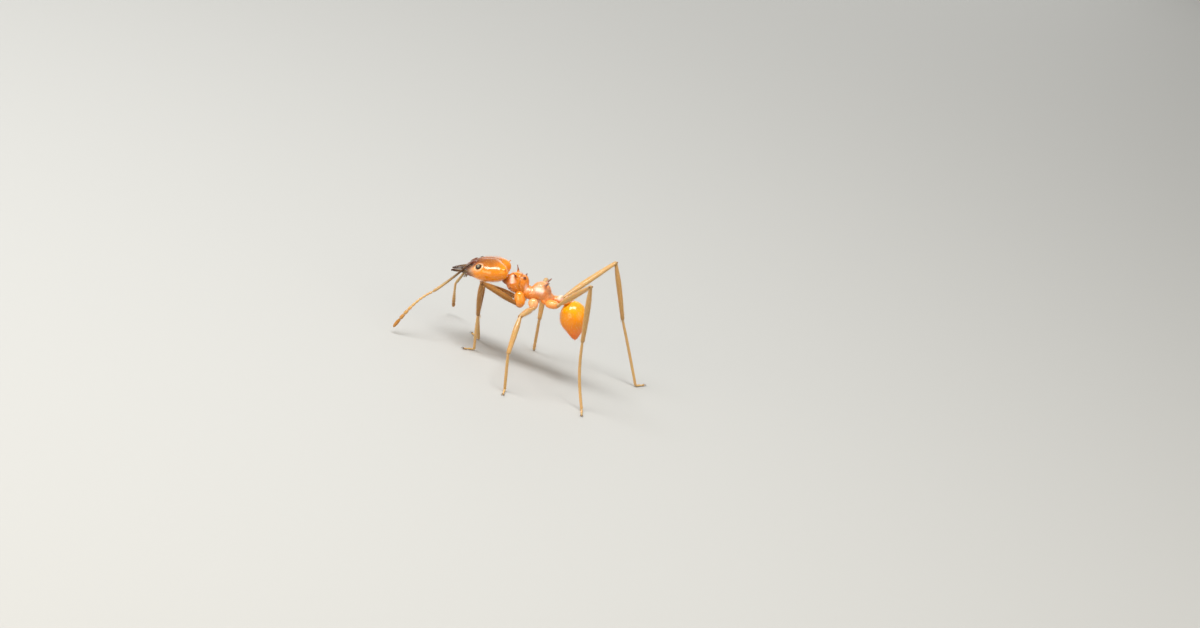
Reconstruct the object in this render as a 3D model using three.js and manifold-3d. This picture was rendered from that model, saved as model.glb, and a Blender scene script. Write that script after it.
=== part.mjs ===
// A leafcutter ant worker at life size, standing on six feet. Millimetres, +Z up.
// The head points towards -X and the ant's left side towards -Y. The floor is the plane z = 0.
// Every plate, limb length and foot is set from the named sizes below.
import * as THREE from "three";
import { mergeVertices } from "three/addons/utils/BufferGeometryUtils.js";
import Module from "manifold-3d";

const wasm = await Module();
wasm.setup();

// ---------------------------------------------------------------- driving sizes

const JOINT_GAP = 0.02; // clearance between neighbouring pieces
const WELD = 1e-4; // corners nearer than this are one corner
const THORN_TIP = 0.035; // radius of a spine's blunt end
const LIMB_RADIUS = 0.25; // thinnest limb, half of 0.5 mm
const FEMUR_SWELL = 0.04; // extra radius half way along a femur
const COXA_ROOT = 0.3; // radius of a coxa where it leaves the body
const LEFT = -1; // the ant's left side is -Y
const RIGHT = 1;
const SIDES = { left: LEFT, right: RIGHT };

const HEAD = {
  centre: [-4.995, 0, 5.353],
  pitch: 20, // degrees that the face dips below level
  length: 3.1,
  width: 2.7,
  height: 1.58,
  setback: 0.06, // how far the capsule's middle lies behind the head's centre
  fullness: 0.42, // power that draws the ends: 0.5 is a plain ball
  squareness: 2.5, // 2 is a plain ball, and more keeps the sides straighter
  frontTaper: 0.34, // share of the width lost at the mouth
  taperStart: -0.3, // where each change starts, in half lengths forward of the centre
  frontFlattening: 0.28, // share of the height lost at the mouth
  flatteningStart: 0.05,
  backFlattening: 0.06,
  backFlatteningStart: 0.35, // in half lengths behind the centre
  notchDepth: 0.42, // cleft between the two rear lobes
  notchWidth: 0.5,
  notchStart: 0.15, // in half lengths behind the centre
  columns: 20,
  rows: 15,
  clypeus: { at: [1.2, 0, -0.02], radii: [0.36, 0.62, 0.28] },
  cheek: { at: [0.98, 0.52, -0.03], radii: [0.34, 0.26, 0.3] },
  spine: { at: [-1.18, 0.9, 0.26], lean: [-0.72, 0.42, 0.55], length: 0.2, radius: 0.09 },
};
const EYE = { at: [0.48, 0.9, 0.39], radii: [0.2, 0.15, 0.175] };
const MANDIBLE = {
  base: 0.62, // height of the blade where it meets the head
  reach: 1.0,
  thickness: 0.3,
  teeth: 6,
  toothedShare: 0.66, // share of the reach that carries teeth
  toothDepth: 0.2,
  toothWidth: 0.6, // share of the pitch of the teeth
  inner: -0.42, // the toothed edge, in bases from the blade's middle line
  outer: 0.55,
  bulge: 0.62, // the outer edge's guide point, in reaches forward and bases outward
  at: [1.3, 0.42, -0.04],
  roll: 12,
};

const THORAX_DOMES = {
  pronotum: { centre: [-2.98, 0, 5.24], radii: [0.68, 0.66, 0.7] },
  collar: { centre: [-3.58, 0, 5.2], radii: [0.5, 0.36, 0.36] },
  mesonotum: { centre: [-2.62, 0, 5.22], radii: [0.46, 0.56, 0.68] },
  mesopleuron: { centre: [-1.98, 0, 4.92], radii: [0.72, 0.54, 0.46] },
  propodeum: { centre: [-1.3, 0, 5.28], radii: [0.68, 0.52, 0.66] },
  hindPlate: { centre: [-0.72, 0, 5.02], radii: [0.44, 0.42, 0.42] },
};
const THORAX_SPINES = [
  { root: [-3.12, 0.4, 5.64], tip: [-3.35, 0.91, 6.02], radius: 0.14 },
  { root: [-2.58, 0.28, 5.66], tip: [-2.58, 0.42, 6.02], radius: 0.13 },
  { root: [-1.26, 0.28, 5.68], tip: [-1.0, 0.48, 6.13], radius: 0.14 },
];
const THORAX_CUTS = [-2.2, -1.72]; // x of the two sutures

const PETIOLE = {
  stem: [[-0.5, 0, 5.0], [0.18, 0, 5.16]],
  stemRadius: 0.17,
  node: [-0.02, 0, 5.18],
  nodeRadii: [0.2, 0.27, 0.3],
};
const POSTPETIOLE = { centre: [0.46, 0, 5.26], radii: [0.27, 0.46, 0.33], tilt: 30 };
const GASTER = {
  root: [0.8, 0, 5.42],
  tip: [1.84, 0, 3.02],
  width: 2.0,
  height: 1.84,
  cuts: [0.66, 0.84], // shares of the length where its plates part
  shoulder: 0.82, // power that moves the widest place towards the waist
  fullness: 0.62, // power that fills the ends
  rearTaper: 0.24, // share of the width lost at the tip
  rearTaperStart: 0.45,
  rings: 11,
  sides: 16,
};

// Scape from the head to the elbow, flagellum on to the tip with one soft bend.
const ANTENNAE = {
  left: {
    root: [-6.06, -0.5, 5.5],
    elbow: [-7.74, -1.6, 3.09],
    bend: [-8.51, -2.2, 2.13],
    tip: [-9.2, -2.95, 0.47],
  },
  right: {
    root: [-6.06, 0.5, 5.5],
    elbow: [-6.72, 2.1, 2.85],
    bend: [-6.6, 2.85, 1.9],
    tip: [-6.4, 3.9, 0.6],
  },
};

// Each pair on the right side: where the coxa starts, where the femur starts, the coxa's thickness, and the
// lengths of femur, tibia, tarsus and foot.
const LEG_PAIRS = {
  front: {
    coxaRoot: [-2.66, 0.34, 4.92],
    hip: [-2.22, 0.62, 4.02],
    coxaRadius: 0.44,
    lengths: [3.08, 2.38, 2.48, 0.75],
  },
  middle: {
    coxaRoot: [-1.66, 0.34, 4.76],
    hip: [-1.36, 0.6, 4.22],
    coxaRadius: 0.35,
    lengths: [3.08, 2.65, 2.4, 0.78],
  },
  hind: {
    coxaRoot: [-0.8, 0.34, 4.74],
    hip: [0.02, 0.6, 4.98],
    coxaRadius: 0.35,
    lengths: [4.76, 3.9, 4.4, 0.85],
  },
};
// How each leg is held, in degrees from straight ahead towards its own side: the femur's swing, the way the
// ankle bows and the way the foot points. lift is the femur's rise, and toe is where the foot ends.
const STANCE = {
  front_left: { swing: 19, lift: 16.5, bow: 90, toe: [-4.58, -1.0], heading: 38 },
  front_right: { swing: 25.9, lift: -8, bow: -90, toe: [-4.55, 2.0], heading: 45 },
  middle_left: { swing: 80, lift: 5, bow: 80, toe: [-1.1, -5.9], heading: 92 },
  middle_right: { swing: 90, lift: 11.5, bow: -95, toe: [-0.52, 4.08], heading: 85 },
  hind_left: { swing: 115.5, lift: 41.2, bow: -46, toe: [3.98, -4.35], heading: 98 },
  hind_right: { swing: 127.9, lift: 33.5, bow: -27, toe: [7.1, 4.68], heading: 125 },
};
const SOLE_HEIGHT = 0.2; // middle of the foot above the floor, so that each foot rests on a flat
const FULL_REACH = 0.999; // share of its length that a leg may be stretched to

const CUTICLE = 0xd8811f;
const CUTICLE_PALE = 0xc99a55;
const CUTICLE_DARK = 0x5a3416;
const EYE_BLACK = 0x17120f;

// ---------------------------------------------------------------- solids

const vec = (p) => new THREE.Vector3(...p);
const mirrored = (p, side) => [p[0], p[1] * side, p[2]];
const radians = THREE.MathUtils.degToRad;

// A closed three.js geometry as a manifold-3d solid. One that a mirroring move has turned inside out is
// turned back.
function solid(geometry) {
  const source = geometry.index ? geometry.toNonIndexed() : geometry;
  const bare = new THREE.BufferGeometry().setAttribute("position", source.getAttribute("position"));
  const merged = mergeVertices(bare, WELD);
  const triVerts = new Uint32Array(merged.index.array);
  const vertProperties = merged.attributes.position.array;
  const made = new wasm.Manifold(new wasm.Mesh({ numProp: 3, vertProperties, triVerts }));
  if (made.volume() > 0) return made;
  for (let i = 0; i < triVerts.length; i += 3) {
    [triVerts[i + 1], triVerts[i + 2]] = [triVerts[i + 2], triVerts[i + 1]];
  }
  return new wasm.Manifold(new wasm.Mesh({ numProp: 3, vertProperties, triVerts }));
}

const unite = (pieces) => pieces.reduce((whole, piece) => whole.add(piece));

// A manifold-3d solid as a named mesh.
function meshOf(name, body, colour, roughness = 0.32) {
  const data = body.getMesh();
  const positions = new Float32Array(data.numVert * 3);
  for (let i = 0; i < data.numVert; i++) {
    positions.set(data.vertProperties.subarray(i * data.numProp, i * data.numProp + 3), i * 3);
  }
  const geometry = new THREE.BufferGeometry();
  geometry.setAttribute("position", new THREE.BufferAttribute(positions, 3));
  geometry.setIndex(new THREE.BufferAttribute(new Uint32Array(data.triVerts), 1));
  geometry.computeVertexNormals();
  const material = new THREE.MeshStandardMaterial({ color: colour, roughness, metalness: 0 });
  const mesh = new THREE.Mesh(geometry, material);
  mesh.name = name;
  return mesh;
}

// Turns a geometry made along +Y from the origin so that it runs from one point towards another.
function aim(geometry, from, to) {
  const direction = to.clone().sub(from).normalize();
  const turn = new THREE.Quaternion().setFromUnitVectors(new THREE.Vector3(0, 1, 0), direction);
  return geometry.applyQuaternion(turn).translate(from.x, from.y, from.z);
}

function ellipsoid(centre, radii, grow = 0, columns = 12, rows = 8) {
  const geometry = new THREE.SphereGeometry(1, columns, rows);
  geometry.rotateX(Math.PI / 2);
  geometry.scale(...radii.map((r) => r + grow));
  return solid(geometry.translate(...centre));
}

// A round-ended limb from a to b. radiusAt gives its radius at a share of its length.
function limb(a, b, radiusAt, sides = 8, rings = 1) {
  const length = a.distanceTo(b);
  const shoulder = Math.SQRT1_2; // one ring half way round each end
  const outline = [new THREE.Vector2(0, -radiusAt(0))];
  outline.push(new THREE.Vector2(radiusAt(0) * shoulder, -radiusAt(0) * shoulder));
  for (let i = 0; i <= rings; i++) outline.push(new THREE.Vector2(radiusAt(i / rings), (i / rings) * length));
  outline.push(new THREE.Vector2(radiusAt(1) * shoulder, length + radiusAt(1) * shoulder));
  outline.push(new THREE.Vector2(0, length + radiusAt(1)));
  return solid(aim(new THREE.LatheGeometry(outline, sides), a, b));
}

// A blunt thorn from its root to its tip.
function spike(root, tip, radius, grow = 0) {
  const height = root.distanceTo(tip) + grow;
  const geometry = new THREE.CylinderGeometry(THORN_TIP + grow, radius + grow, height, 6);
  return solid(aim(geometry.translate(0, height / 2, 0), root, tip));
}

// Keeps the part of a body on the far side of a plane through a point, half a joint gap clear of it.
function keepBeyond(body, point, normal) {
  const n = normal.clone().normalize();
  return body.trimByPlane([n.x, n.y, n.z], n.dot(point) + JOINT_GAP / 2);
}

// The normal of the plane that halves the bend at a joint, pointing along the limb.
function bendNormal(before, joint, after) {
  const incoming = joint.clone().sub(before).normalize();
  const outgoing = after.clone().sub(joint).normalize();
  return incoming.add(outgoing).normalize();
}

// ---------------------------------------------------------------- head

const smooth = THREE.MathUtils.smoothstep;

// The head's own axes: x forward to the mouth, y to the given side, z up to the crown.
function headFrame(side = RIGHT) {
  const c = Math.cos(radians(HEAD.pitch));
  const s = Math.sin(radians(HEAD.pitch));
  const turn = new THREE.Matrix4().makeBasis(vec([-c, 0, -s]), vec([0, side, 0]), vec([-s, 0, c]));
  return turn.setPosition(...HEAD.centre);
}

const onHead = (point, side) => vec(point).applyMatrix4(headFrame(side));

// Heart-shaped capsule: a ball drawn out to the mouth, widest behind the eyes and cleft at the back.
function headCapsule(grow = 0) {
  const geometry = new THREE.SphereGeometry(1, HEAD.columns, HEAD.rows);
  geometry.rotateZ(Math.PI / 2); // poles at the mouth and the back
  const positions = geometry.attributes.position;
  for (let i = 0; i < positions.count; i++) {
    const x = positions.getX(i); // -1 at the back, 1 at the mouth
    const round = Math.hypot(positions.getY(i), positions.getZ(i)) || 1;
    const sideways = positions.getY(i) / round;
    const upward = positions.getZ(i) / round;
    const full = Math.pow(Math.max(0, 1 - Math.pow(Math.abs(x), HEAD.squareness)), HEAD.fullness);
    const wide = full * (1 - HEAD.frontTaper * smooth(x, HEAD.taperStart, 1));
    const frontTall = 1 - HEAD.frontFlattening * smooth(x, HEAD.flatteningStart, 1);
    const backTall = 1 - HEAD.backFlattening * smooth(-x, HEAD.backFlatteningStart, 1);
    const y = (HEAD.width / 2 + grow) * wide * sideways;
    const cleft = Math.exp(-Math.pow(y / HEAD.notchWidth, 2));
    const notch = HEAD.notchDepth * cleft * smooth(-x, HEAD.notchStart, 1);
    const z = (HEAD.height / 2 + grow) * full * frontTall * backTall * upward;
    positions.setXYZ(i, (HEAD.length / 2 + grow) * x + notch - HEAD.setback, y, z);
  }
  return solid(geometry.applyMatrix4(headFrame()));
}

function headSolid(grow = 0) {
  const { at, lean, length, radius } = HEAD.spine;
  const spines = Object.values(SIDES).map((side) => {
    const root = onHead(at, side);
    const tip = onHead(at.map((value, i) => value + lean[i] * length), side);
    return spike(root, tip, radius, grow);
  });
  const clypeus = ellipsoid(onHead(HEAD.clypeus.at).toArray(), HEAD.clypeus.radii, grow, 10, 6);
  const cheek = (side) => ellipsoid(onHead(HEAD.cheek.at, side).toArray(), HEAD.cheek.radii, grow, 8, 5);
  const cheeks = Object.values(SIDES).map(cheek);
  return unite([headCapsule(grow), clypeus, ...cheeks, ...spines]);
}

function eyeBall(side, grow = 0) {
  const geometry = new THREE.SphereGeometry(1, 10, 6);
  geometry.scale(...EYE.radii.map((r) => r + grow)).translate(...EYE.at);
  return solid(geometry.applyMatrix4(headFrame(side)));
}

// A triangular blade with a toothed inner edge, drawn flat in x and y and given its thickness.
function mandible(side) {
  const { base, reach, thickness, teeth, toothedShare, toothDepth, toothWidth, bulge } = MANDIBLE;
  const inner = MANDIBLE.inner * base;
  const pitch = (reach * toothedShare) / teeth;
  const blade = new THREE.Shape();
  blade.moveTo(0, inner);
  blade.lineTo(0, MANDIBLE.outer * base);
  blade.quadraticCurveTo(bulge * reach, bulge * base, reach, inner);
  for (let i = 1; i <= teeth; i++) {
    const x = reach - pitch * i;
    blade.lineTo(x + toothWidth * pitch, inner);
    blade.lineTo(x, inner - toothDepth * base);
  }
  const extrusion = { depth: thickness, bevelEnabled: false, curveSegments: 8 };
  const geometry = new THREE.ExtrudeGeometry(blade, extrusion);
  geometry.translate(0, 0, -thickness / 2);
  geometry.rotateX(radians(MANDIBLE.roll)).translate(...MANDIBLE.at);
  return solid(geometry.applyMatrix4(headFrame(side)));
}

// ---------------------------------------------------------------- trunk and waist

function thoraxSolid(grow = 0) {
  const domes = Object.values(THORAX_DOMES).map((d) => ellipsoid(d.centre, d.radii, grow));
  const thorn = (s, side) => spike(vec(mirrored(s.root, side)), vec(mirrored(s.tip, side)), s.radius, grow);
  const spines = THORAX_SPINES.flatMap((s) => Object.values(SIDES).map((side) => thorn(s, side)));
  return unite([...domes, ...spines]);
}

function petioleSolid(grow = 0) {
  const [a, b] = PETIOLE.stem.map(vec);
  const stem = limb(a, b, () => PETIOLE.stemRadius + grow);
  return stem.add(ellipsoid(PETIOLE.node, PETIOLE.nodeRadii, grow, 12, 8));
}

function postpetioleSolid(grow = 0) {
  const geometry = new THREE.SphereGeometry(1, 12, 8);
  geometry.scale(...POSTPETIOLE.radii.map((r) => r + grow));
  geometry.rotateY(radians(POSTPETIOLE.tilt));
  return solid(geometry.translate(...POSTPETIOLE.centre));
}

// The abdomen's bulb: full at the shoulders and drawn to a point at the tip.
function gasterSolid(grow = 0) {
  const root = vec(GASTER.root);
  const tip = vec(GASTER.tip);
  const length = root.distanceTo(tip);
  const { rings, sides, shoulder, fullness, rearTaper, rearTaperStart } = GASTER;
  const outline = [];
  for (let i = 0; i <= rings; i++) {
    const t = (1 - Math.cos((Math.PI * i) / rings)) / 2;
    const full = Math.pow(Math.sin(Math.PI * Math.pow(t, shoulder)), fullness);
    const radius = full * (1 - rearTaper * smooth(t, rearTaperStart, 1));
    outline.push(new THREE.Vector2(i === 0 || i === rings ? 0 : radius, t * length));
  }
  const geometry = new THREE.LatheGeometry(outline, sides);
  geometry.scale(GASTER.height / 2 + grow, 1, GASTER.width / 2 + grow);
  const axis = tip.clone().sub(root).normalize();
  const across = vec([0, RIGHT, 0]);
  const upright = axis.clone().cross(across); // keeps the bulb's height in the middle plane
  return solid(geometry.applyMatrix4(new THREE.Matrix4().makeBasis(upright, axis, across).setPosition(root)));
}

// ---------------------------------------------------------------- antennae

const evenRadius = () => LIMB_RADIUS;

function antennaSolids(name, grow = 0) {
  const [root, elbow, middle, tip] = ["root", "elbow", "bend", "tip"].map((key) => vec(ANTENNAE[name][key]));
  const normal = bendNormal(root, elbow, middle);
  const whip = limb(elbow, middle, evenRadius).add(limb(middle, tip, evenRadius));
  const scape = limb(root, elbow, () => LIMB_RADIUS + grow);
  return {
    scape: keepBeyond(scape, elbow, normal.clone().negate()),
    flagellum: keepBeyond(whip, elbow, normal),
  };
}

// ---------------------------------------------------------------- legs

// Where the ankle lies between knee and heel, bowed the given way off the straight line.
function bend(knee, heel, upper, lower, way) {
  const span = heel.clone().sub(knee);
  const reach = Math.min(span.length(), (upper + lower) * FULL_REACH);
  const along = (upper * upper - lower * lower + reach * reach) / (2 * reach);
  const off = Math.sqrt(Math.max(0, upper * upper - along * along));
  const line = span.clone().normalize();
  const bow = way.clone().addScaledVector(line, -way.dot(line)).normalize();
  return knee.clone().addScaledVector(line, along).addScaledVector(bow, off);
}

// A level direction, in degrees from straight ahead towards the given side.
function heading(degrees, side) {
  return vec([-Math.cos(radians(degrees)), Math.sin(radians(degrees)) * side, 0]);
}

// The joints of one leg from the coxa's root to the toe.
function legJoints(pairName, sideName) {
  const { coxaRoot, hip: hipRight, lengths } = LEG_PAIRS[pairName];
  const [femur, tibia, tarsus, foot] = lengths;
  const side = SIDES[sideName];
  const stance = STANCE[`${pairName}_${sideName}`];
  const lift = radians(stance.lift);
  const root = vec(mirrored(coxaRoot, side));
  const hip = vec(mirrored(hipRight, side));
  const knee = hip.clone().addScaledVector(heading(stance.swing, side), femur * Math.cos(lift));
  knee.z += femur * Math.sin(lift);
  const toe = vec([...stance.toe, SOLE_HEIGHT]);
  const heel = toe.clone().addScaledVector(heading(stance.heading, side), -foot);
  const ankle = bend(knee, heel, tibia, tarsus, heading(stance.bow, side));
  return { root, hip, knee, ankle, heel, toe };
}

function legSolids(pairName, sideName, bodies) {
  const { coxaRadius } = LEG_PAIRS[pairName];
  const { root, hip, knee, ankle, heel, toe } = legJoints(pairName, sideName);
  const hipNormal = bendNormal(root, hip, knee);
  const kneeNormal = bendNormal(hip, knee, ankle);
  const ankleNormal = bendNormal(knee, ankle, heel);
  const trim = (body) => bodies.reduce((rest, other) => rest.subtract(other), body);

  const cone = (t) => COXA_ROOT + (LIMB_RADIUS - COXA_ROOT) * t;
  const coxa = limb(root, hip, (t) => cone(t) + (coxaRadius - cone(0.5)) * Math.sin(Math.PI * t), 9, 2);
  const femur = limb(hip, knee, (t) => LIMB_RADIUS + FEMUR_SWELL * Math.sin(Math.PI * t), 8, 4);
  const tibia = limb(knee, ankle, evenRadius);
  const tarsus = limb(ankle, heel, evenRadius).add(limb(heel, toe, evenRadius));
  return {
    coxa: trim(keepBeyond(coxa, hip, hipNormal.clone().negate())),
    femur: trim(keepBeyond(keepBeyond(femur, hip, hipNormal), knee, kneeNormal.clone().negate())),
    tibia: keepBeyond(keepBeyond(tibia, knee, kneeNormal), ankle, ankleNormal.clone().negate()),
    tarsus: keepBeyond(tarsus, ankle, ankleNormal).trimByPlane([0, 0, 1], 0),
  };
}

// ---------------------------------------------------------------- assembly

const ant = new THREE.Group();
const put = (name, body, colour, roughness) => ant.add(meshOf(name, body, colour, roughness));

const headGrown = headSolid(JOINT_GAP);
const thoraxGrown = thoraxSolid(JOINT_GAP);
const petioleGrown = petioleSolid(JOINT_GAP);
const postpetioleGrown = postpetioleSolid(JOINT_GAP);

let head = headSolid().subtract(thoraxGrown);
for (const [name, side] of Object.entries(SIDES)) {
  head = head.subtract(eyeBall(side, JOINT_GAP));
  put(`eye_${name}`, eyeBall(side), EYE_BLACK, 0.15);
  const { scape, flagellum } = antennaSolids(name);
  const { scape: scapeGrown } = antennaSolids(name, JOINT_GAP);
  put(`mandible_${name}`, mandible(side).subtract(headGrown).subtract(scapeGrown), CUTICLE_DARK);
  put(`antenna_scape_${name}`, scape.subtract(headGrown), CUTICLE_DARK);
  put(`antenna_flagellum_${name}`, flagellum, CUTICLE_PALE);
}
put("head", head, CUTICLE);

const thorax = thoraxSolid();
const [front, back] = THORAX_CUTS;
const along = new THREE.Vector3(1, 0, 0);
const at = (x) => vec([x, 0, 0]);
put("pronotum", keepBeyond(thorax, at(front), along.clone().negate()), CUTICLE);
const behindFront = keepBeyond(thorax, at(front), along);
put("mesothorax", keepBeyond(behindFront, at(back), along.clone().negate()), CUTICLE);
put("propodeum", keepBeyond(thorax, at(back), along), CUTICLE);

put("petiole", petioleSolid().subtract(thoraxGrown), CUTICLE);
put("postpetiole", postpetioleSolid().subtract(petioleGrown), CUTICLE);

const gaster = gasterSolid().subtract(postpetioleGrown);
const gasterAxis = vec(GASTER.tip).sub(vec(GASTER.root));
const [firstCut, secondCut] = GASTER.cuts.map((share) => vec(GASTER.root).addScaledVector(gasterAxis, share));
put("gaster_first_segment", keepBeyond(gaster, firstCut, gasterAxis.clone().negate()), CUTICLE);
const behindFirst = keepBeyond(gaster, firstCut, gasterAxis);
put("gaster_second_segment", keepBeyond(behindFirst, secondCut, gasterAxis.clone().negate()), CUTICLE);
put("gaster_tip", keepBeyond(gaster, secondCut, gasterAxis), CUTICLE);

const trunk = [thoraxGrown, petioleGrown, postpetioleGrown];
for (const pairName of Object.keys(LEG_PAIRS)) {
  for (const sideName of Object.keys(SIDES)) {
    const pieces = legSolids(pairName, sideName, trunk);
    for (const [segment, body] of Object.entries(pieces)) {
      put(`${segment}_${pairName}_${sideName}`, body, segment === "coxa" ? CUTICLE : CUTICLE_PALE);
    }
  }
}

// The origin is on the floor under the middle of the standing ant.
const box = new THREE.Box3().setFromObject(ant);
const middle = box.getCenter(new THREE.Vector3());
ant.position.set(-middle.x, -middle.y, -box.min.z);

export default ant;
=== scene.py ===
"""A leafcutter ant worker, life size and standing still, as a natural history museum shows one.

Every piece is drawn in millimetres in the ant's own frame, head towards -X and left side towards -Y,
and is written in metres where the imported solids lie.
"""

import logging
import math
from dataclasses import dataclass
from enum import Enum
from itertools import pairwise
from typing import Callable, Protocol, Sequence

import bmesh
import bpy
import numpy as np
from mathutils import Matrix, Vector, noise
from mathutils.bvhtree import BVHTree


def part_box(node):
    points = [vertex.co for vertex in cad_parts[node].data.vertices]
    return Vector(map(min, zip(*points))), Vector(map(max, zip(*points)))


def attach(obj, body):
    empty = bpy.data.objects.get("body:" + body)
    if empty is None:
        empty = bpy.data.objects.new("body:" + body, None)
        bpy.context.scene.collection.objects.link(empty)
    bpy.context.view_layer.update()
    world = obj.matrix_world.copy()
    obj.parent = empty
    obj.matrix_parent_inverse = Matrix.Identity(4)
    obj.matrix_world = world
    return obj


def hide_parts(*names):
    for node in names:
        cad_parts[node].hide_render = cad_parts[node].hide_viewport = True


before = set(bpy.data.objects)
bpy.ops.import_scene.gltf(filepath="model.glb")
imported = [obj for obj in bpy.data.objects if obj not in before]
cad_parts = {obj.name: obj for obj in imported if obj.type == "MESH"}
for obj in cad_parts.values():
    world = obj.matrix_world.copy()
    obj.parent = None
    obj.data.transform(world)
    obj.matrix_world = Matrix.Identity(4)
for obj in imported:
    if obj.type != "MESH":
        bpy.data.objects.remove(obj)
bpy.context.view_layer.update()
log = logging.getLogger("leafcutter")

MM = 0.001
SEED = 11
Point = tuple[float, float, float]
Line = tuple[Point, ...]
Rows = tuple[tuple[float, float], ...]
Arrays = tuple[np.ndarray, np.ndarray]
Socket = bpy.types.NodeSocket
Tone = tuple[float, float]  # how dark and how pale, each 0 to 1
WHITE = (1.0, 1.0, 1.0)
WORLD_UP = Vector((0, 0, 1))
SIDEWAYS = Vector((0, 1, 0))


# ---------------------------------------------------------------- the ant's frame


class Side(Enum):
    """The two sides of the body."""

    LEFT = -1
    RIGHT = 1

    @property
    def word(self) -> str:
        """The side's name in lower case, as the node names end."""
        return self.name.lower()

    def of(self, point: Point) -> Vector:
        """A point given for the right side, moved to this side."""
        return Vector((point[0], point[1] * self.value, point[2]))


@dataclass(frozen=True)
class HeadPose:
    """Where the head is carried, and its own axes: x to the mouth, y to the right, z to the crown."""

    centre: Point = (-4.995, 0.0, 5.353)
    pitch: float = 20.0
    eye_at: Point = (0.48, 0.9, 0.39)

    def matrix(self, side: Side = Side.RIGHT) -> Matrix:
        """The move from the head's axes to the body's.

        Args:
            side: the side that positive y points to.

        Returns:
            A 4 by 4 matrix, in millimetres.
        """
        c, s = math.cos(math.radians(self.pitch)), math.sin(math.radians(self.pitch))
        forward, sideways, upward = Vector((-c, 0, -s)), Vector((0, side.value, 0)), Vector((-s, 0, c))
        turn = Matrix((forward, sideways, upward)).transposed().to_4x4()
        return Matrix.Translation(self.centre) @ turn


HEAD = HeadPose()


def find_shift() -> Vector:
    """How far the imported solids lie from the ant's own frame, in millimetres, measured at an eye."""
    low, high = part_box("eye_left")
    seen = (Vector(low) + Vector(high)) / (2 * MM)
    return seen - HEAD.matrix(Side.LEFT) @ Vector(HEAD.eye_at)


SHIFT = find_shift()
TO_METRES = Matrix.Scale(MM, 4) @ Matrix.Translation(SHIFT)


# ---------------------------------------------------------------- sums on points


def ramp(value: np.ndarray | float, low: float, high: float) -> np.ndarray:
    """A smooth step.

    Args:
        value: the numbers to judge.
        low: where the step is still 0.
        high: where it has reached 1.

    Returns:
        One number from 0 to 1 for each.
    """
    t = np.clip((np.asarray(value, float) - low) / (high - low), 0.0, 1.0)
    return t * t * (3.0 - 2.0 * t)


def near_point(points: np.ndarray, centre: Point, reach: float) -> np.ndarray:
    """A soft round spot.

    Args:
        points: places, one a row.
        centre: the spot's middle.
        reach: where it has faded to about a third.

    Returns:
        1 at the centre, falling to 0, for each place.
    """
    return np.exp(-((points - np.array(centre)) ** 2).sum(axis=1) / reach**2)


def from_line(points: np.ndarray, line: Sequence[Point]) -> Arrays:
    """Measures places against a bent line.

    Args:
        points: places, one a row.
        line: the line's corners.

    Returns:
        The distance of each place from the line, and its share of the way along it.
    """
    corners = np.array([tuple(p) for p in line], float)
    lengths = np.linalg.norm(np.diff(corners, axis=0), axis=1)
    starts = np.concatenate(([0.0], np.cumsum(lengths))) / lengths.sum()
    best, share = np.full(len(points), np.inf), np.zeros(len(points))
    for i, (a, b) in enumerate(pairwise(corners)):
        t = np.clip(((points - a) @ (b - a)) / ((b - a) @ (b - a)), 0, 1)
        apart = np.linalg.norm(points - (a + t[:, None] * (b - a)), axis=1)
        closer = apart < best
        best[closer] = apart[closer]
        share[closer] = (starts[i] + t * (starts[i + 1] - starts[i]))[closer]
    return best, share


def near_line(points: np.ndarray, line: Sequence[Point], reach: float, fade: float = 0.12) -> np.ndarray:
    """A soft ridge along a line, fading at both its ends.

    Args:
        points: places, one a row.
        line: the line's corners.
        reach: the ridge's half width.
        fade: the share of the line over which each end fades.

    Returns:
        1 on the line, falling to 0, for each place.
    """
    apart, share = from_line(points, line)
    return np.exp(-((apart / reach) ** 2)) * ramp(share, 0, fade) * ramp(1 - share, 0, fade)


def folded(points: np.ndarray) -> np.ndarray:
    """The same places with the left side folded onto the right."""
    return points * np.array([1.0, 0.0, 1.0]) + np.abs(points) * np.array([0.0, 1.0, 0.0])


def unevenness(points: np.ndarray, size: float) -> np.ndarray:
    """Gentle random relief.

    Args:
        points: places, one a row.
        size: how far apart its swells lie.

    Returns:
        About -1 to 1 for each place.
    """
    return np.array([noise.noise(Vector(p) / size) for p in points])


# ---------------------------------------------------------------- finishes


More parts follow.
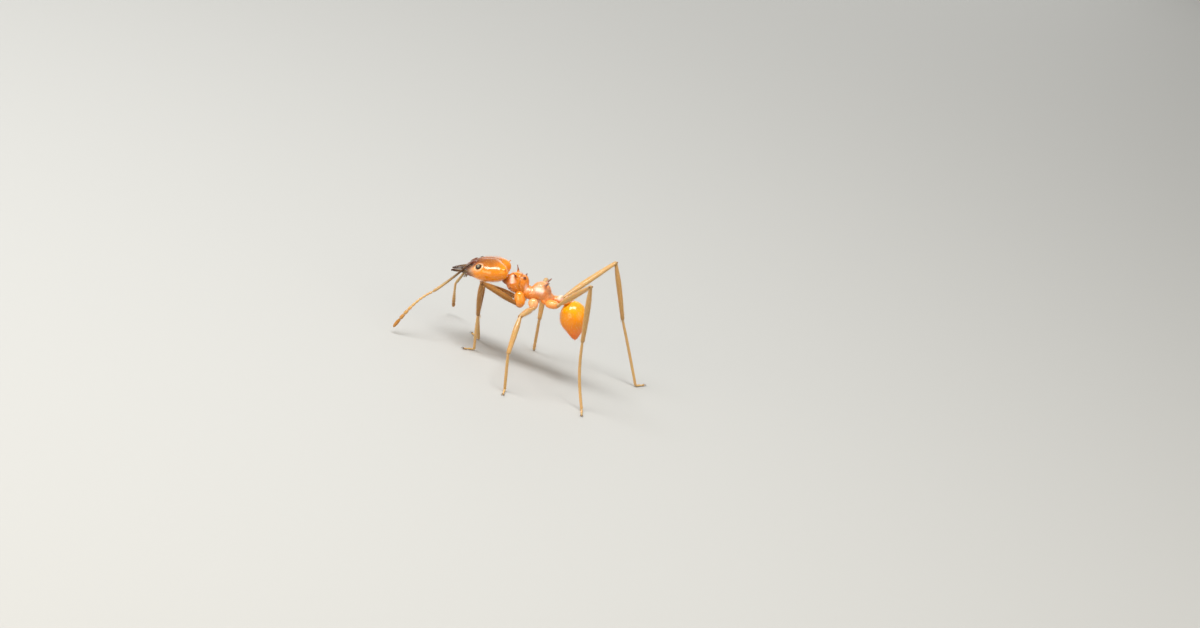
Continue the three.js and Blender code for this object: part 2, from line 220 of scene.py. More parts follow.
class Relief:
    """The node group that the whole shell shares: colour, gloss and fine relief."""

    NAME = "cuticle"
    MIDDLE = 0.5  # of the noise, taken off so that it swings both ways
    FINENESS = 7.0  # how many times finer the speckle is than the mottle
    SPECKLE_IN_PALENESS = 0.12
    SPECKLE_IN_ROUGHNESS = 0.22
    DARKNESS_IN_ROUGHNESS = 0.08
    PORES_IN_HEIGHT = 0.7

    @classmethod
    def tree(cls) -> bpy.types.NodeTree:
        """The group, built the first time it is asked for."""
        return bpy.data.node_groups.get(cls.NAME) or cls.build()

    @classmethod
    def build(cls) -> bpy.types.NodeTree:
        """Builds the group.

        Returns:
            A node group with the inputs and outputs that Cuticle.material joins up.
        """
        tree = bpy.data.node_groups.new(cls.NAME, "ShaderNodeTree")
        new = tree.interface.new_socket
        for name in ("Plain", "Deep", "Pale"):
            new(name, in_out="INPUT", socket_type="NodeSocketColor")
        for name in ("Darkness", "Paleness", "Mottle", "Mottle Size", "Pore Size", "Roughness"):
            new(name, in_out="INPUT", socket_type="NodeSocketFloat")
        new("Colour", in_out="OUTPUT", socket_type="NodeSocketColor")
        new("Roughness", in_out="OUTPUT", socket_type="NodeSocketFloat")
        new("Height", in_out="OUTPUT", socket_type="NodeSocketFloat")
        add = tree.nodes.new
        link = tree.links.new
        entry, leave = add("NodeGroupInput"), add("NodeGroupOutput")
        place = add("ShaderNodeTexCoord").outputs["Object"]

        def noise_at(scale: Socket, detail: float) -> Socket:
            """Noise on the object's own coordinates.

            Args:
                scale: a socket that gives its scale.
                detail: how many finer layers it has.

            Returns:
                Its output.
            """
            node = add("ShaderNodeTexNoise")
            node.inputs["Detail"].default_value = detail
            link(place, node.inputs["Vector"])
            link(scale, node.inputs["Scale"])
            return node.outputs["Fac"]

        def sum_of(kind: str, a: Socket, b: Socket | float) -> Socket:
            """One sum on a socket and a socket or number.

            Args:
                kind: the sum's name in a Math node.
                a: its first value.
                b: its second value.

            Returns:
                Its output.
            """
            node = add("ShaderNodeMath")
            node.operation = kind
            link(a, node.inputs[0])
            if isinstance(b, (int, float)):
                node.inputs[1].default_value = b
            else:
                link(b, node.inputs[1])
            return node.outputs[0]

        def mixed(factor: Socket, a: Socket, b: Socket) -> Socket:
            """Two colours mixed by a clamped factor.

            Args:
                factor: how much of the second shows.
                a: the first colour.
                b: the second colour.

            Returns:
                The mixed colour.
            """
            node = add("ShaderNodeMix")
            node.data_type, node.blend_type, node.clamp_factor = "RGBA", "MIX", True
            first, second = (s for s in node.inputs if s.type == "RGBA")
            link(factor, node.inputs[0])
            link(a, first)
            link(b, second)
            return next(s for s in node.outputs if s.type == "RGBA")

        cloud = sum_of("SUBTRACT", noise_at(entry.outputs["Mottle Size"], detail=3.0), cls.MIDDLE)
        patches = sum_of("MULTIPLY", cloud, entry.outputs["Mottle"])
        fine_scale = sum_of("MULTIPLY", entry.outputs["Mottle Size"], cls.FINENESS)
        speckle = sum_of("SUBTRACT", noise_at(fine_scale, detail=2.0), cls.MIDDLE)
        dark = sum_of("ADD", entry.outputs["Darkness"], patches)
        pale_speckle = sum_of("MULTIPLY", speckle, cls.SPECKLE_IN_PALENESS)
        pale = sum_of("ADD", entry.outputs["Paleness"], pale_speckle)
        body = mixed(dark, entry.outputs["Plain"], entry.outputs["Deep"])
        link(mixed(pale, body, entry.outputs["Pale"]), leave.inputs["Colour"])

        cells = add("ShaderNodeTexVoronoi")
        cells.feature = "SMOOTH_F1"
        link(place, cells.inputs["Vector"])
        link(entry.outputs["Pore Size"], cells.inputs["Scale"])
        pores = sum_of("MULTIPLY", cells.outputs["Distance"], cls.PORES_IN_HEIGHT)
        link(sum_of("ADD", pores, speckle), leave.inputs["Height"])
        dull_speckle = sum_of("MULTIPLY", speckle, cls.SPECKLE_IN_ROUGHNESS)
        dull_shade = sum_of("MULTIPLY", entry.outputs["Darkness"], cls.DARKNESS_IN_ROUGHNESS)
        worn = sum_of("ADD", dull_speckle, dull_shade)
        link(sum_of("ADD", entry.outputs["Roughness"], worn), leave.inputs["Roughness"])
        return tree


@dataclass(frozen=True)
class Cuticle:
    """A finish of hardened, half clear shell, plain, deep where it is thick and pale where it is thin. On
    some pieces the deep colour also carries painted shade, and the pale colour painted highlights, sheen
    and a glint.
    """

    name: str
    slot: str
    plain: Point
    deep: Point
    pale: Point
    roughness: float = 0.3
    gloss: float = 0.75
    glow: float = 0.3
    glow_depth: float = 0.25  # millimetres that light wanders under the surface
    mottle: float = 0.35
    mottle_size: float = 1100.0  # swells a metre
    pore_size: float = 26000.0
    relief: float = 0.35
    coat_roughness: float = 0.14
    coat_ior: float = 1.58
    bare_sheen: float = 0.04  # specular level of the shell under its gloss
    relief_height: float = 0.006  # millimetres
    glow_spread: Point = (1.0, 0.45, 0.12)  # how far red, green and blue light wander, as shares

    def material(self) -> bpy.types.Material:
        """The finish as a material, made once."""
        return bpy.data.materials.get(self.name) or self.build()

    def build(self) -> bpy.types.Material:
        """Builds the material.

        Returns:
            A material that reads the vertex values named shade and pale.
        """
        material = bpy.data.materials.new(self.name)
        material.use_nodes = True
        nodes, link = material.node_tree.nodes, material.node_tree.links.new
        shader = nodes["Principled BSDF"]
        group = nodes.new("ShaderNodeGroup")
        group.node_tree = Relief.tree()
        for name, colour in (("Plain", self.plain), ("Deep", self.deep), ("Pale", self.pale)):
            group.inputs[name].default_value = (*colour, 1)
        group.inputs["Mottle"].default_value = self.mottle
        group.inputs["Mottle Size"].default_value = self.mottle_size
        group.inputs["Pore Size"].default_value = self.pore_size
        group.inputs["Roughness"].default_value = self.roughness
        for name, socket in (("shade", "Darkness"), ("pale", "Paleness")):
            reader = nodes.new("ShaderNodeAttribute")
            reader.attribute_name = name
            link(reader.outputs["Fac"], group.inputs[socket])
        bump = nodes.new("ShaderNodeBump")
        bump.inputs["Strength"].default_value = self.relief
        bump.inputs["Distance"].default_value = self.relief_height * MM
        link(group.outputs["Height"], bump.inputs["Height"])
        link(bump.outputs["Normal"], shader.inputs["Normal"])
        link(group.outputs["Colour"], shader.inputs["Base Color"])
        link(group.outputs["Roughness"], shader.inputs["Roughness"])
        shader.inputs["Coat Weight"].default_value = self.gloss
        shader.inputs["Coat Roughness"].default_value = self.coat_roughness
        shader.inputs["Coat IOR"].default_value = self.coat_ior
        shader.inputs["Specular IOR Level"].default_value = self.bare_sheen
        shader.inputs["Subsurface Weight"].default_value = self.glow
        shader.inputs["Subsurface Radius"].default_value = self.glow_spread
        shader.inputs["Subsurface Scale"].default_value = self.glow_depth * MM
        return material


AMBER = Cuticle(
    "amber_cuticle",
    "cuticle",
    plain=(0.9, 0.285, 0.001),
    # deep also paints the shade on the head's top; pale also paints the sheen round the eyes and on the
    # cheeks
    deep=(0.12, 0.022, 0.004),
    pale=(0.9, 0.64, 0.42),
    gloss=1.0,
)
SADDLE = Cuticle(
    "trunk_cuticle",
    "cuticle",
    plain=(0.7, 0.205, 0.002),
    # deep also paints the trunk's shade, and pale its highlights on the collar and flank
    deep=(0.12, 0.022, 0.004),
    pale=(0.98, 0.8, 0.72),
    roughness=0.36,
    gloss=0.95,
    relief=0.6,
    coat_roughness=0.2,
)
BULB = Cuticle(
    "gaster_cuticle",
    "cuticle",
    plain=(0.82, 0.275, 0.001),
    deep=(0.95, 0.14, 0.002),
    pale=(0.88, 0.55, 0.01),
)
STRAW = Cuticle(
    "straw_cuticle",
    "cuticle_pale",
    plain=(0.45, 0.21, 0.04),
    deep=(0.13, 0.045, 0.01),
    pale=(0.66, 0.47, 0.22),
    roughness=0.34,
    gloss=0.5,
    mottle=0.6,
)
BROWN = Cuticle(
    "brown_cuticle",
    "cuticle_dark",
    plain=(0.07, 0.03, 0.01),
    deep=(0.02, 0.007, 0.003),
    pale=(0.5, 0.34, 0.15),
    gloss=0.5,
)
LENSES = Cuticle(
    "eye_lenses",
    "eye",
    plain=(0.03, 0.022, 0.014),
    deep=(0.01, 0.008, 0.006),
    # pale: the colour of the painted glint
    pale=(0.46, 0.4, 0.26),
    roughness=0.18,
    gloss=0.8,
    glow=0.0,
)
BRISTLE = Cuticle(
    "bristles",
    "cuticle_pale",
    plain=(0.7, 0.4, 0.14),
    deep=(0.3, 0.13, 0.05),
    pale=(0.9, 0.72, 0.45),
    roughness=0.4,
    gloss=0.2,
    glow=0.0,
)


FINISHED: dict[str, bpy.types.Object] = {}  # every piece handed over, which bristles may grow from


def hand_over(piece: bpy.types.Object, finish: Cuticle, nodes: Sequence[str], rounding: int = 0) -> None:
    """Sets a finished piece in its place on the body.

    Args:
        piece: the piece, drawn in millimetres.
        finish: what it is made of.
        nodes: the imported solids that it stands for.
        rounding: how many times its surface is subdivided.
    """
    piece.data.transform(TO_METRES)
    piece.data.materials.clear()
    piece.data.materials.append(finish.material())
    for polygon in piece.data.polygons:
        polygon.use_smooth = True
    if rounding:
        modifier = piece.modifiers.new("rounding", "SUBSURF")
        modifier.levels = modifier.render_levels = rounding
    FINISHED[piece.name.partition(".")[0]] = piece
    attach(piece, "root")
    if nodes:
        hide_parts(*nodes)
    log.info("%s: %d faces, for %s", piece.name, len(piece.data.polygons), ", ".join(nodes) or "no node")


def move_to_head(piece: bpy.types.Object, side: Side) -> bpy.types.Object:
    """Carries a piece from the head's axes to the body's, its faces still turned outwards.

    Args:
        piece: the piece, drawn in the head's axes.
        side: the side that positive y points to.

    Returns:
        The same piece.
    """
    place = HEAD.matrix(side)
    piece.data.transform(place)
    if place.determinant() < 0:
        piece.data.flip_normals()
    return piece


def new_object(name: str, data: bpy.types.ID) -> bpy.types.Object:
    """A mesh, lamp or camera as an object of the scene."""
    made = bpy.data.objects.new(name, data)
    bpy.context.scene.collection.objects.link(made)
    return made


# ---------------------------------------------------------------- limbs, ring by ring


@dataclass(frozen=True)
class Profile:
    """How thick a limb is along its length: a smooth curve through a few places."""

    knots: Rows

    def slope(self, i: int) -> float:
        """How steeply the curve passes through one of its places."""
        (a, low), (b, high) = self.knots[max(i - 1, 0)], self.knots[min(i + 1, len(self.knots) - 1)]
        return (high - low) / (b - a)

    def at(self, share: float) -> float:
        """The radius at a share of the length.

        Args:
            share: 0 at the near end and 1 at the far end.

        Returns:
            Millimetres.
        """
        share = min(max(share, self.knots[0][0]), self.knots[-1][0])
        i = next(i for i in range(len(self.knots) - 1) if share <= self.knots[i + 1][0])
        (a, low), (b, high) = self.knots[i : i + 2]
        span, t = b - a, (share - a) / (b - a)
        keep, gain = 2 * t**3 - 3 * t**2 + 1, 3 * t**2 - 2 * t**3
        leave, arrive = t**3 - 2 * t**2 + t, t**3 - t**2
        return keep * low + gain * high + span * (leave * self.slope(i) + arrive * self.slope(i + 1))


@dataclass(frozen=True)
class LimbForm:
    """The make of one limb segment."""

    profile: Profile
    flatness: float = 0.88  # its thickness as a share of its width
    bow: float = 0.0  # how far its middle stands off the straight line
    sides: int = 16
    rings: int = 22


def even_tone(_share: float) -> Tone:
    """No darkening or paling anywhere."""
    return 0.0, 0.0


class Workpiece:
    """A mesh in the making, in millimetres. Its vertices carry how dark and how pale they are."""

    def __init__(self) -> None:
        """Starts an empty mesh."""
        self.work = bmesh.new()
        self.shade = self.work.verts.layers.float.new("shade")
        self.pale = self.work.verts.layers.float.new("pale")

    def tint(self, verts: Sequence[bmesh.types.BMVert], tone: Tone) -> None:
        """Gives some vertices their darkness and paleness."""
        for vert in verts:
            vert[self.shade], vert[self.pale] = tone

    def grow(
        self,
        path: Sequence[Vector],
        radii: Sequence[tuple[float, float]],
        across: Vector,
        along: Vector | None = None,
        sides: int = 16,
        tone: Callable[[float], Tone] = even_tone,
    ) -> None:
        """Grows a closed body ring by ring.

        Args:
            path: the middle of each ring, with the closed ends first and last.
            radii: each ring's half width and half thickness.
            across: the direction of the half width, nearly square to the path.
            along: the rings' common axis, or None where each follows the path.
            sides: how many faces go round.
            tone: darkness and paleness at a share of the rings.
        """
        moves = []
        last = len(path) - 1
        for i, at in enumerate(path):
            axis = along or (path[min(i + 1, last)] - path[max(i - 1, 0)])
            axis = axis.normalized()
            wide = (across - axis * across.dot(axis)).normalized()
            turn = Matrix((wide * radii[i][0], axis.cross(wide) * radii[i][1], axis)).transposed().to_4x4()
            moves.append(Matrix.Translation(at) @ turn)
        circle = bmesh.ops.create_circle(self.work, segments=sides, radius=1, matrix=moves[0])
        first = ring = circle["verts"]
        self.tint(ring, tone(0.0))
        edges = list(dict.fromkeys(edge for vert in ring for edge in vert.link_edges))
        for i, (before, after) in enumerate(pairwise(moves)):
            made = bmesh.ops.extrude_edge_only(self.work, edges=edges)["geom"]
            ring = [g for g in made if isinstance(g, bmesh.types.BMVert)]
            edges = [g for g in made if isinstance(g, bmesh.types.BMEdge)]
            bmesh.ops.transform(self.work, matrix=after @ before.inverted(), verts=ring)
            self.tint(ring, tone((i + 1) / last))
        bmesh.ops.pointmerge(self.work, verts=first, merge_co=path[0])
        bmesh.ops.pointmerge(self.work, verts=ring, merge_co=path[-1])

    def limb(
        self,
        start: Vector,
        end: Vector,
        form: LimbForm,
        across: Vector,
        tone: Callable[[float], Tone] = even_tone,
    ) -> None:
        """Grows one round-ended segment between two places.

        Args:
            start: the near end.
            end: the far end.
            form: its make.
            across: the direction of its width, which its bow is square to.
            tone: darkness and paleness at a share of its length.
        """
        cap_rings, cap_start = 4, 0.3  # the first ring stands a share of a step inside the closed end
        cap_angles = [math.radians(90 * (i + cap_start) / cap_rings) for i in range(cap_rings)]
        length = (end - start).length
        axis = (end - start).normalized()
        lift = axis.cross(across).normalized()
        near, far = form.profile.at(0.0), form.profile.at(1.0)
        shares, caps = [], []
        for angle in cap_angles:
            shares.append(near * (1 - math.cos(angle)) / length)
            caps.append(math.sin(angle))
        body_start, body_end = near / length, 1 - far / length
        for i in range(form.rings + 1):
            shares.append(body_start + (body_end - body_start) * i / form.rings)
            caps.append(1.0)
        for angle in reversed(cap_angles):
            shares.append(1 - far * (1 - math.cos(angle)) / length)
            caps.append(math.sin(angle))
        path = [start + axis * length * s + lift * form.bow * math.sin(math.pi * s) for s in shares]
        halves = [form.profile.at(s) * c for s, c in zip(shares, caps)]
        radii = [(half, half * form.flatness) for half in halves]
        count = len(shares) - 1
        self.grow(path, radii, across, None, form.sides, lambda s: tone(shares[round(s * count)]))

    def ball(self, centre: Vector, radii: Point, turn: Matrix | None, tone: Tone) -> None:
        """Adds a closed ellipsoid.

        Args:
            centre: its middle.
            radii: its three half sizes.
            turn: how it is turned, or None.
            tone: its darkness and paleness.
        """
        matrix = Matrix.Translation(centre) @ (turn or Matrix.Identity(4)) @ Matrix.Diagonal((*radii, 1))
        made = bmesh.ops.create_uvsphere(self.work, u_segments=16, v_segments=10, radius=1, matrix=matrix)
        self.tint(made["verts"], tone)

    def put_in_order(self) -> None:
        """Sorts the edges and faces by their vertices, as growing leaves them in any order."""
        count = len(self.work.verts)
        self.work.verts.index_update()

        def rank(part: bmesh.types.BMEdge | bmesh.types.BMFace) -> int:
            """A number that rises with the part's three lowest vertices."""
            lowest = sorted(vert.index for vert in part.verts)[:3]
            return sum(index * count ** (2 - i) for i, index in enumerate(lowest))

        self.work.edges.sort(key=rank)
        self.work.faces.sort(key=rank)

    def piece(self, name: str, place: Matrix | None = None) -> bpy.types.Object:
        """Ends the making.

        Args:
            name: what the piece is called.
            place: a last move, such as the head's, or None.

        Returns:
            The piece as an object, its faces turned outwards.
        """
        if place:
            bmesh.ops.transform(self.work, matrix=place, verts=self.work.verts)
        self.put_in_order()
        bmesh.ops.recalc_face_normals(self.work, faces=self.work.faces)
        mesh = bpy.data.meshes.new(name)
        self.work.to_mesh(mesh)
        self.work.free()
        return new_object(name, mesh)


# ---------------------------------------------------------------- melted shells


class Shape(Protocol):
    """Something that a shell is melted together from."""

    def add_to(self, work: bmesh.types.BMesh) -> None:
        """Adds the rough shape to a mesh."""

    def distance(self, points: np.ndarray) -> np.ndarray:
        """How far each place lies outside the shape."""


@dataclass(frozen=True)
class Dome:
    """A rounded plate: an ellipsoid, turned about the sideways axis."""

    centre: Point
    radii: Point
    tilt: float = 0.0

    def add_to(self, work: bmesh.types.BMesh) -> None:
        """Adds the rough ellipsoid to a mesh."""
        turn = Matrix.Rotation(math.radians(self.tilt), 4, "Y")
        matrix = Matrix.Translation(self.centre) @ turn @ Matrix.Diagonal((*self.radii, 1))
        bmesh.ops.create_uvsphere(work, u_segments=32, v_segments=20, radius=1, matrix=matrix)

    def mirrored(self) -> "Dome":
        """The same plate on the other side."""
        x, y, z = self.centre
        return Dome((x, -y, z), self.radii, self.tilt)

    def distance(self, points: np.ndarray) -> np.ndarray:
        """How far each place lies outside the ellipsoid, nearly.

        Args:
            points: places, one a row.

        Returns:
            Millimetres for each, less than 0 inside.
        """
        turn = np.array(Matrix.Rotation(math.radians(self.tilt), 3, "Y"))
        local = ((points - np.array(self.centre)) @ turn) / np.array(self.radii)
        outer = np.linalg.norm(local, axis=1)
        slope = np.linalg.norm(local / np.array(self.radii), axis=1)
        return outer * (outer - 1) / np.maximum(slope, 1e-6)


@dataclass(frozen=True)
class Spine:
    """A spine along a bent line, broad at the root and narrowing quickly to a fine point."""

    line: Line
    root: float
    point: float = 0.022
    hollow: float = 1.6  # 1 is a plain cone, and more narrows it sooner
    overlap: float = 0.012  # how much fatter the rough balls are, so that they join

    def radius(self, share: np.ndarray) -> np.ndarray:
        """The radius at shares of its length."""
        return self.point + (self.root - self.point) * (1 - share) ** self.hollow

    def add_to(self, work: bmesh.types.BMesh) -> None:
        """Adds the rough spine to a mesh as balls strung on its line.

        Args:
            work: the mesh.
        """
        corners = [Vector(p) for p in self.line]
        steps = 14
        for a, b in pairwise(corners):
            for i in range(steps + 1):
                at = a.lerp(b, i / steps)
                share = from_line(np.array([at]), self.line)[1]
                size = float(self.radius(share)[0]) + self.overlap
                place = Matrix.Translation(at)
                bmesh.ops.create_icosphere(work, subdivisions=1, radius=size, matrix=place)

    def distance(self, points: np.ndarray) -> np.ndarray:
        """How far each place lies outside the spine."""
        apart, share = from_line(points, self.line)
        return apart - self.radius(share)

    def mirrored(self) -> "Spine":
        """The same spine on the other side."""
        return Spine(tuple((x, -y, z) for x, y, z in self.line), self.root, self.point, self.hollow)


@dataclass
class Shell:
    """One smooth skin melted together from its shapes, then given its fine relief and its tones."""

    name: str
    shapes: list[Shape]
    melt: float = 0.035  # millimetres over which neighbouring shapes run together
    grain: float = 0.024  # the mesh's cell, in millimetres
    relief: Callable[[np.ndarray], np.ndarray] | None = None
    tones: Callable[[np.ndarray], Arrays] | None = None

    def distance(self, points: np.ndarray) -> np.ndarray:
        """How far each place lies outside the melted skin."""
        each = np.stack([-shape.distance(points) / self.melt for shape in self.shapes])
        return -self.melt * np.logaddexp.reduce(each, axis=0)

    def rough(self) -> bpy.types.Object:
        """The shapes as one closed mesh of even cells.

        Returns:
            An object that is not yet smooth.
        """
        work = bmesh.new()
        for shape in self.shapes:
            shape.add_to(work)
        mesh = bpy.data.meshes.new(self.name)
        work.to_mesh(mesh)
        work.free()
        source = new_object(f"{self.name}_rough", mesh)
        modifier = source.modifiers.new("even cells", "REMESH")
        modifier.mode, modifier.voxel_size = "VOXEL", self.grain
        bpy.context.view_layer.update()
        seen = source.evaluated_get(bpy.context.evaluated_depsgraph_get())
        even = bpy.data.meshes.new_from_object(seen)
        even.name = self.name
        bpy.data.objects.remove(source)
        return new_object(self.name, even)

    @staticmethod
    def read(mesh: bpy.types.Mesh) -> Arrays:
        """A mesh's places and the directions that it faces there.

        Args:
            mesh: the mesh.

        Returns:
            Two arrays with a row for each vertex.
        """
        places, facing = np.empty(len(mesh.vertices) * 3), np.empty(len(mesh.vertices) * 3)
        mesh.vertices.foreach_get("co", places)
        mesh.vertex_normals.foreach_get("vector", facing)
        return places.reshape(-1, 3), facing.reshape(-1, 3)

    @staticmethod
    def write(mesh: bpy.types.Mesh, places: np.ndarray) -> None:
        """Moves a mesh's vertices."""
        mesh.vertices.foreach_set("co", places.ravel())
        mesh.update()

    def settle(self, mesh: bpy.types.Mesh, rounds: int) -> None:
        """Draws every vertex onto the melted skin.

        Args:
            mesh: the mesh of even cells.
            rounds: how often.
        """
        for _ in range(rounds):
            places, facing = self.read(mesh)
            step = np.clip(self.distance(places), -self.grain, self.grain)
            self.write(mesh, places - facing * step[:, None])

    def relax(self, mesh: bpy.types.Mesh, rounds: int) -> None:
        """Evens out a mesh's cells.

        Args:
            mesh: the mesh.
            rounds: how often.
        """
        work = bmesh.new()
        work.from_mesh(mesh)
        for _ in range(rounds):
            bmesh.ops.smooth_vert(
                work, verts=work.verts, factor=0.5, use_axis_x=True, use_axis_y=True, use_axis_z=True
            )
        work.to_mesh(mesh)
        work.free()
        mesh.update()

    def build(self) -> bpy.types.Object:
        """Makes the skin.

        Returns:
            The piece, in millimetres, in the axes that its shapes are given in.
        """
        piece = self.rough()
        self.settle(piece.data, rounds=3)
        self.relax(piece.data, rounds=3)
        self.settle(piece.data, rounds=3)
        places, facing = self.read(piece.data)
        if self.tones:
            for name, values in zip(("shade", "pale"), self.tones(places)):
                layer = piece.data.attributes.new(name, "FLOAT", "POINT")
                layer.data.foreach_set("value", np.clip(values, 0, 1))
        if self.relief:
            self.write(piece.data, places + facing * self.relief(places)[:, None])
        return piece


# ---------------------------------------------------------------- bristles


def everywhere(places: np.ndarray) -> np.ndarray:
    """Bristles wanted all over."""
    return np.ones(len(places))


@dataclass(frozen=True)
class Growth:
    """How the bristles of one region grow."""

    spacing: float  # millimetres between neighbouring roots
    length: float
    width: float = 0.013
    lean: float = 50.0  # degrees over from standing upright


@dataclass(frozen=True)
class Patch:
    """A finished piece that bristles grow from. They lie towards the end of its axis."""

    piece: str
    start: Vector
    end: Vector
    growth: Growth
    keep: Callable[[np.ndarray], np.ndarray] = everywhere

    @property
    def axis(self) -> Vector:
        """The way from its start to its end."""
        return (self.end - self.start).normalized()


@dataclass(frozen=True)
class Roots:
    """Where bristles stand: places, the way the skin faces there, and the skin's tones."""

    places: np.ndarray
    facing: np.ndarray
    shade: np.ndarray
    pale: np.ndarray


@dataclass
class Coat:
    """The bristles of some finished pieces, joined into one mesh."""

    name: str
    patches: Sequence[Patch]
    sink: float = 0.012  # how deep each root stands in the skin
    curl: float = 0.3  # how far each tip is drawn over, as a share of its length
    stray: float = 22.0  # degrees that a bristle usually strays from its neighbours
    sway: float = 9.0  # degrees that its lean usually strays
    shortest: float = 0.65  # shares of the usual length
    longest: float = 1.2
    flattest: float = 0.05  # keeps the way that a bristle lies steady where its skin faces along the axis
    crowding: float = 1.5  # tries for each root that would fit
    bake_patch: float = 0.003  # the size of one bristle on the bake's map
    floor_gap: float = 0.02

    @staticmethod
    def pattern() -> tuple[np.ndarray, list[tuple[int, ...]]]:
        """Makes one upright bristle, of length 1 and with a root of radius 1.

        Returns:
            Its vertices and its faces.
        """
        made = Workpiece()
        heights, radii = (0.0, 0.02, 0.4, 0.75, 1.0), (0.5, 1.0, 0.8, 0.5, 0.1)
        path = [WORLD_UP * height for height in heights]
        made.grow(path, [(r, r) for r in radii], Vector((1, 0, 0)), WORLD_UP, sides=3)
        piece = made.piece("bristle")
        verts = np.array([v.co for v in piece.data.vertices])
        faces = [tuple(polygon.vertices) for polygon in piece.data.polygons]
        bpy.data.objects.remove(piece)
        return verts, faces

    def find_roots(self, patch: Patch, rng: np.random.Generator) -> Roots:
        """Scatters roots over a piece, none nearer to another than the spacing.

        Args:
            patch: the piece and its growth.
            rng: the source of chance.

        Returns:
            The roots, in millimetres.
        """
        mesh = FINISHED[patch.piece].data
        back = np.array(TO_METRES.inverted())
        corners_at = Shell.read(mesh)[0] @ back[:3, :3].T + back[:3, 3]
        mesh.calc_loop_triangles()
        corners = np.empty(len(mesh.loop_triangles) * 3, np.int32)
        mesh.loop_triangles.foreach_get("vertices", corners)
        corners = corners.reshape(-1, 3)
        a, b, c = (corners_at[corners[:, i]] for i in range(3))
        facing = np.cross(b - a, c - a)
        area = np.linalg.norm(facing, axis=1)
        tries = int(self.crowding * area.sum() / patch.growth.spacing**2)
        chosen = rng.choice(len(area), tries, p=area / area.sum())
        u, v = np.sqrt(rng.random(tries))[:, None], rng.random(tries)[:, None]
        places = (1 - u) * a[chosen] + u * (1 - v) * b[chosen] + u * v * c[chosen]
        kept: list[int] = []
        for i in np.flatnonzero(rng.random(tries) < patch.keep(places)):
            if not kept or np.linalg.norm(places[kept] - places[i], axis=1).min() > patch.growth.spacing:
                kept.append(int(i))
        tones = []
        for name in ("shade", "pale"):
            values = np.empty(len(mesh.vertices))
            mesh.attributes[name].data.foreach_get("value", values)
            tones.append(values[corners[chosen[kept], 0]])
        return Roots(places[kept], (facing / area[:, None])[chosen[kept]], *tones)

    def strands(
        self, patch: Patch, pattern: np.ndarray, roots: Roots, rng: np.random.Generator
    ) -> np.ndarray:
        """Bends the pattern over at every root.

        Args:
            patch: the piece and its growth.
            pattern: one upright bristle.
            roots: where they stand.
            rng: the source of chance.

        Returns:
            The places of all vertices, by bristle.
        """
        count = len(roots.places)
        facing, axis = roots.facing, np.array(patch.axis)
        lie = axis - facing * (facing @ axis)[:, None]
        lie /= np.maximum(np.linalg.norm(lie, axis=1), self.flattest)[:, None]
        stray = np.radians(rng.normal(0, self.stray, count))[:, None]
        side = np.cross(facing, lie)
        lie, side = lie * np.cos(stray) + side * np.sin(stray), side * np.cos(stray) - lie * np.sin(stray)
        lean = np.radians(patch.growth.lean + rng.normal(0, self.sway, count))[:, None]
        rise = facing * np.cos(lean) + lie * np.sin(lean)
        other = np.cross(rise, side)
        across, depth, height = (pattern[None, :, i, None] for i in range(3))
        run = height * rise[:, None] + self.curl * height**2 * lie[:, None]
        length = (patch.growth.length * rng.uniform(self.shortest, self.longest, count))[:, None, None]
        girth = patch.growth.width / 2 * (across * side[:, None] + depth * other[:, None])
        return (roots.places - facing * self.sink)[:, None] + length * run + girth

    def unwrapped(self, patch: Patch, cell: int, places: np.ndarray) -> np.ndarray:
        """Unrolls a piece about its axis into its own column of the bake's map.

        Args:
            patch: the piece.
            cell: which column.
            places: places on it.

        Returns:
            Each place's spot on the map.
        """
        axis = patch.axis
        across = axis.orthogonal().normalized()
        from_start = places - np.array(patch.start)
        along = np.clip(from_start @ np.array(axis) / (patch.end - patch.start).length, 0, 1)
        beside, ahead = from_start @ np.array(axis.cross(across)), from_start @ np.array(across)
        turn = np.arctan2(beside, ahead) / (2 * math.pi) + 0.5
        left, wide, low, tall = 0.05, 0.9, 0.02, 0.95  # the part of the column that is used
        return np.stack(((cell + left + wide * turn) / len(self.patches), low + tall * along), axis=1)

    def build(self) -> None:
        """Makes the coat."""
        pattern, faces = self.pattern()
        rng = np.random.default_rng(SEED + sum(self.name.encode()))
        strands, spots, shades, pales = [], [], [], []
        for cell, patch in enumerate(self.patches):
            roots = self.find_roots(patch, rng)
            made = self.strands(patch, pattern, roots, rng)
            clear = made[:, :, 2].min(axis=1) > self.floor_gap
            strands.append(made[clear])
            spots.append(self.unwrapped(patch, cell, roots.places)[clear])
            shades.append(roots.shade[clear])
            pales.append(roots.pale[clear])
        verts, spot = np.concatenate(strands), np.concatenate(spots)
        size, height = len(pattern), pattern[:, 2]
        mesh = bpy.data.meshes.new(self.name)
        starts = range(0, len(verts) * size, size)
        tiled = [tuple(start + corner for corner in face) for start in starts for face in faces]
        mesh.from_pydata(verts.reshape(-1, 3), [], tiled)
        root_shade, tip_clearing, root_pale, tip_pale = 0.7, 0.4, 0.5, 0.45
        # the bristles take their skin's tones at the root, painted shade and painted sheen included
        shade = root_shade * np.concatenate(shades)[:, None] * (1 - tip_clearing * height)
        pale = np.concatenate(pales)[:, None] * root_pale + tip_pale * height
        for name, values in (("shade", shade), ("pale", pale)):
            layer = mesh.attributes.new(name, "FLOAT", "POINT")
            layer.data.foreach_set("value", np.clip(values, 0, 1).ravel())
        corner = np.empty(len(mesh.loops), np.int32)
        mesh.loops.foreach_get("vertex_index", corner)
        within = np.stack((pattern[:, 0] * 0.5 + 0.5, height), axis=1)[corner % size]
        bake = mesh.uv_layers.new(name="OFBake")
        bake.data.foreach_set("uv", (spot[corner // size] + self.bake_patch * within).ravel())
        hand_over(new_object(self.name, mesh), BRISTLE, [])


# ---------------------------------------------------------------- head


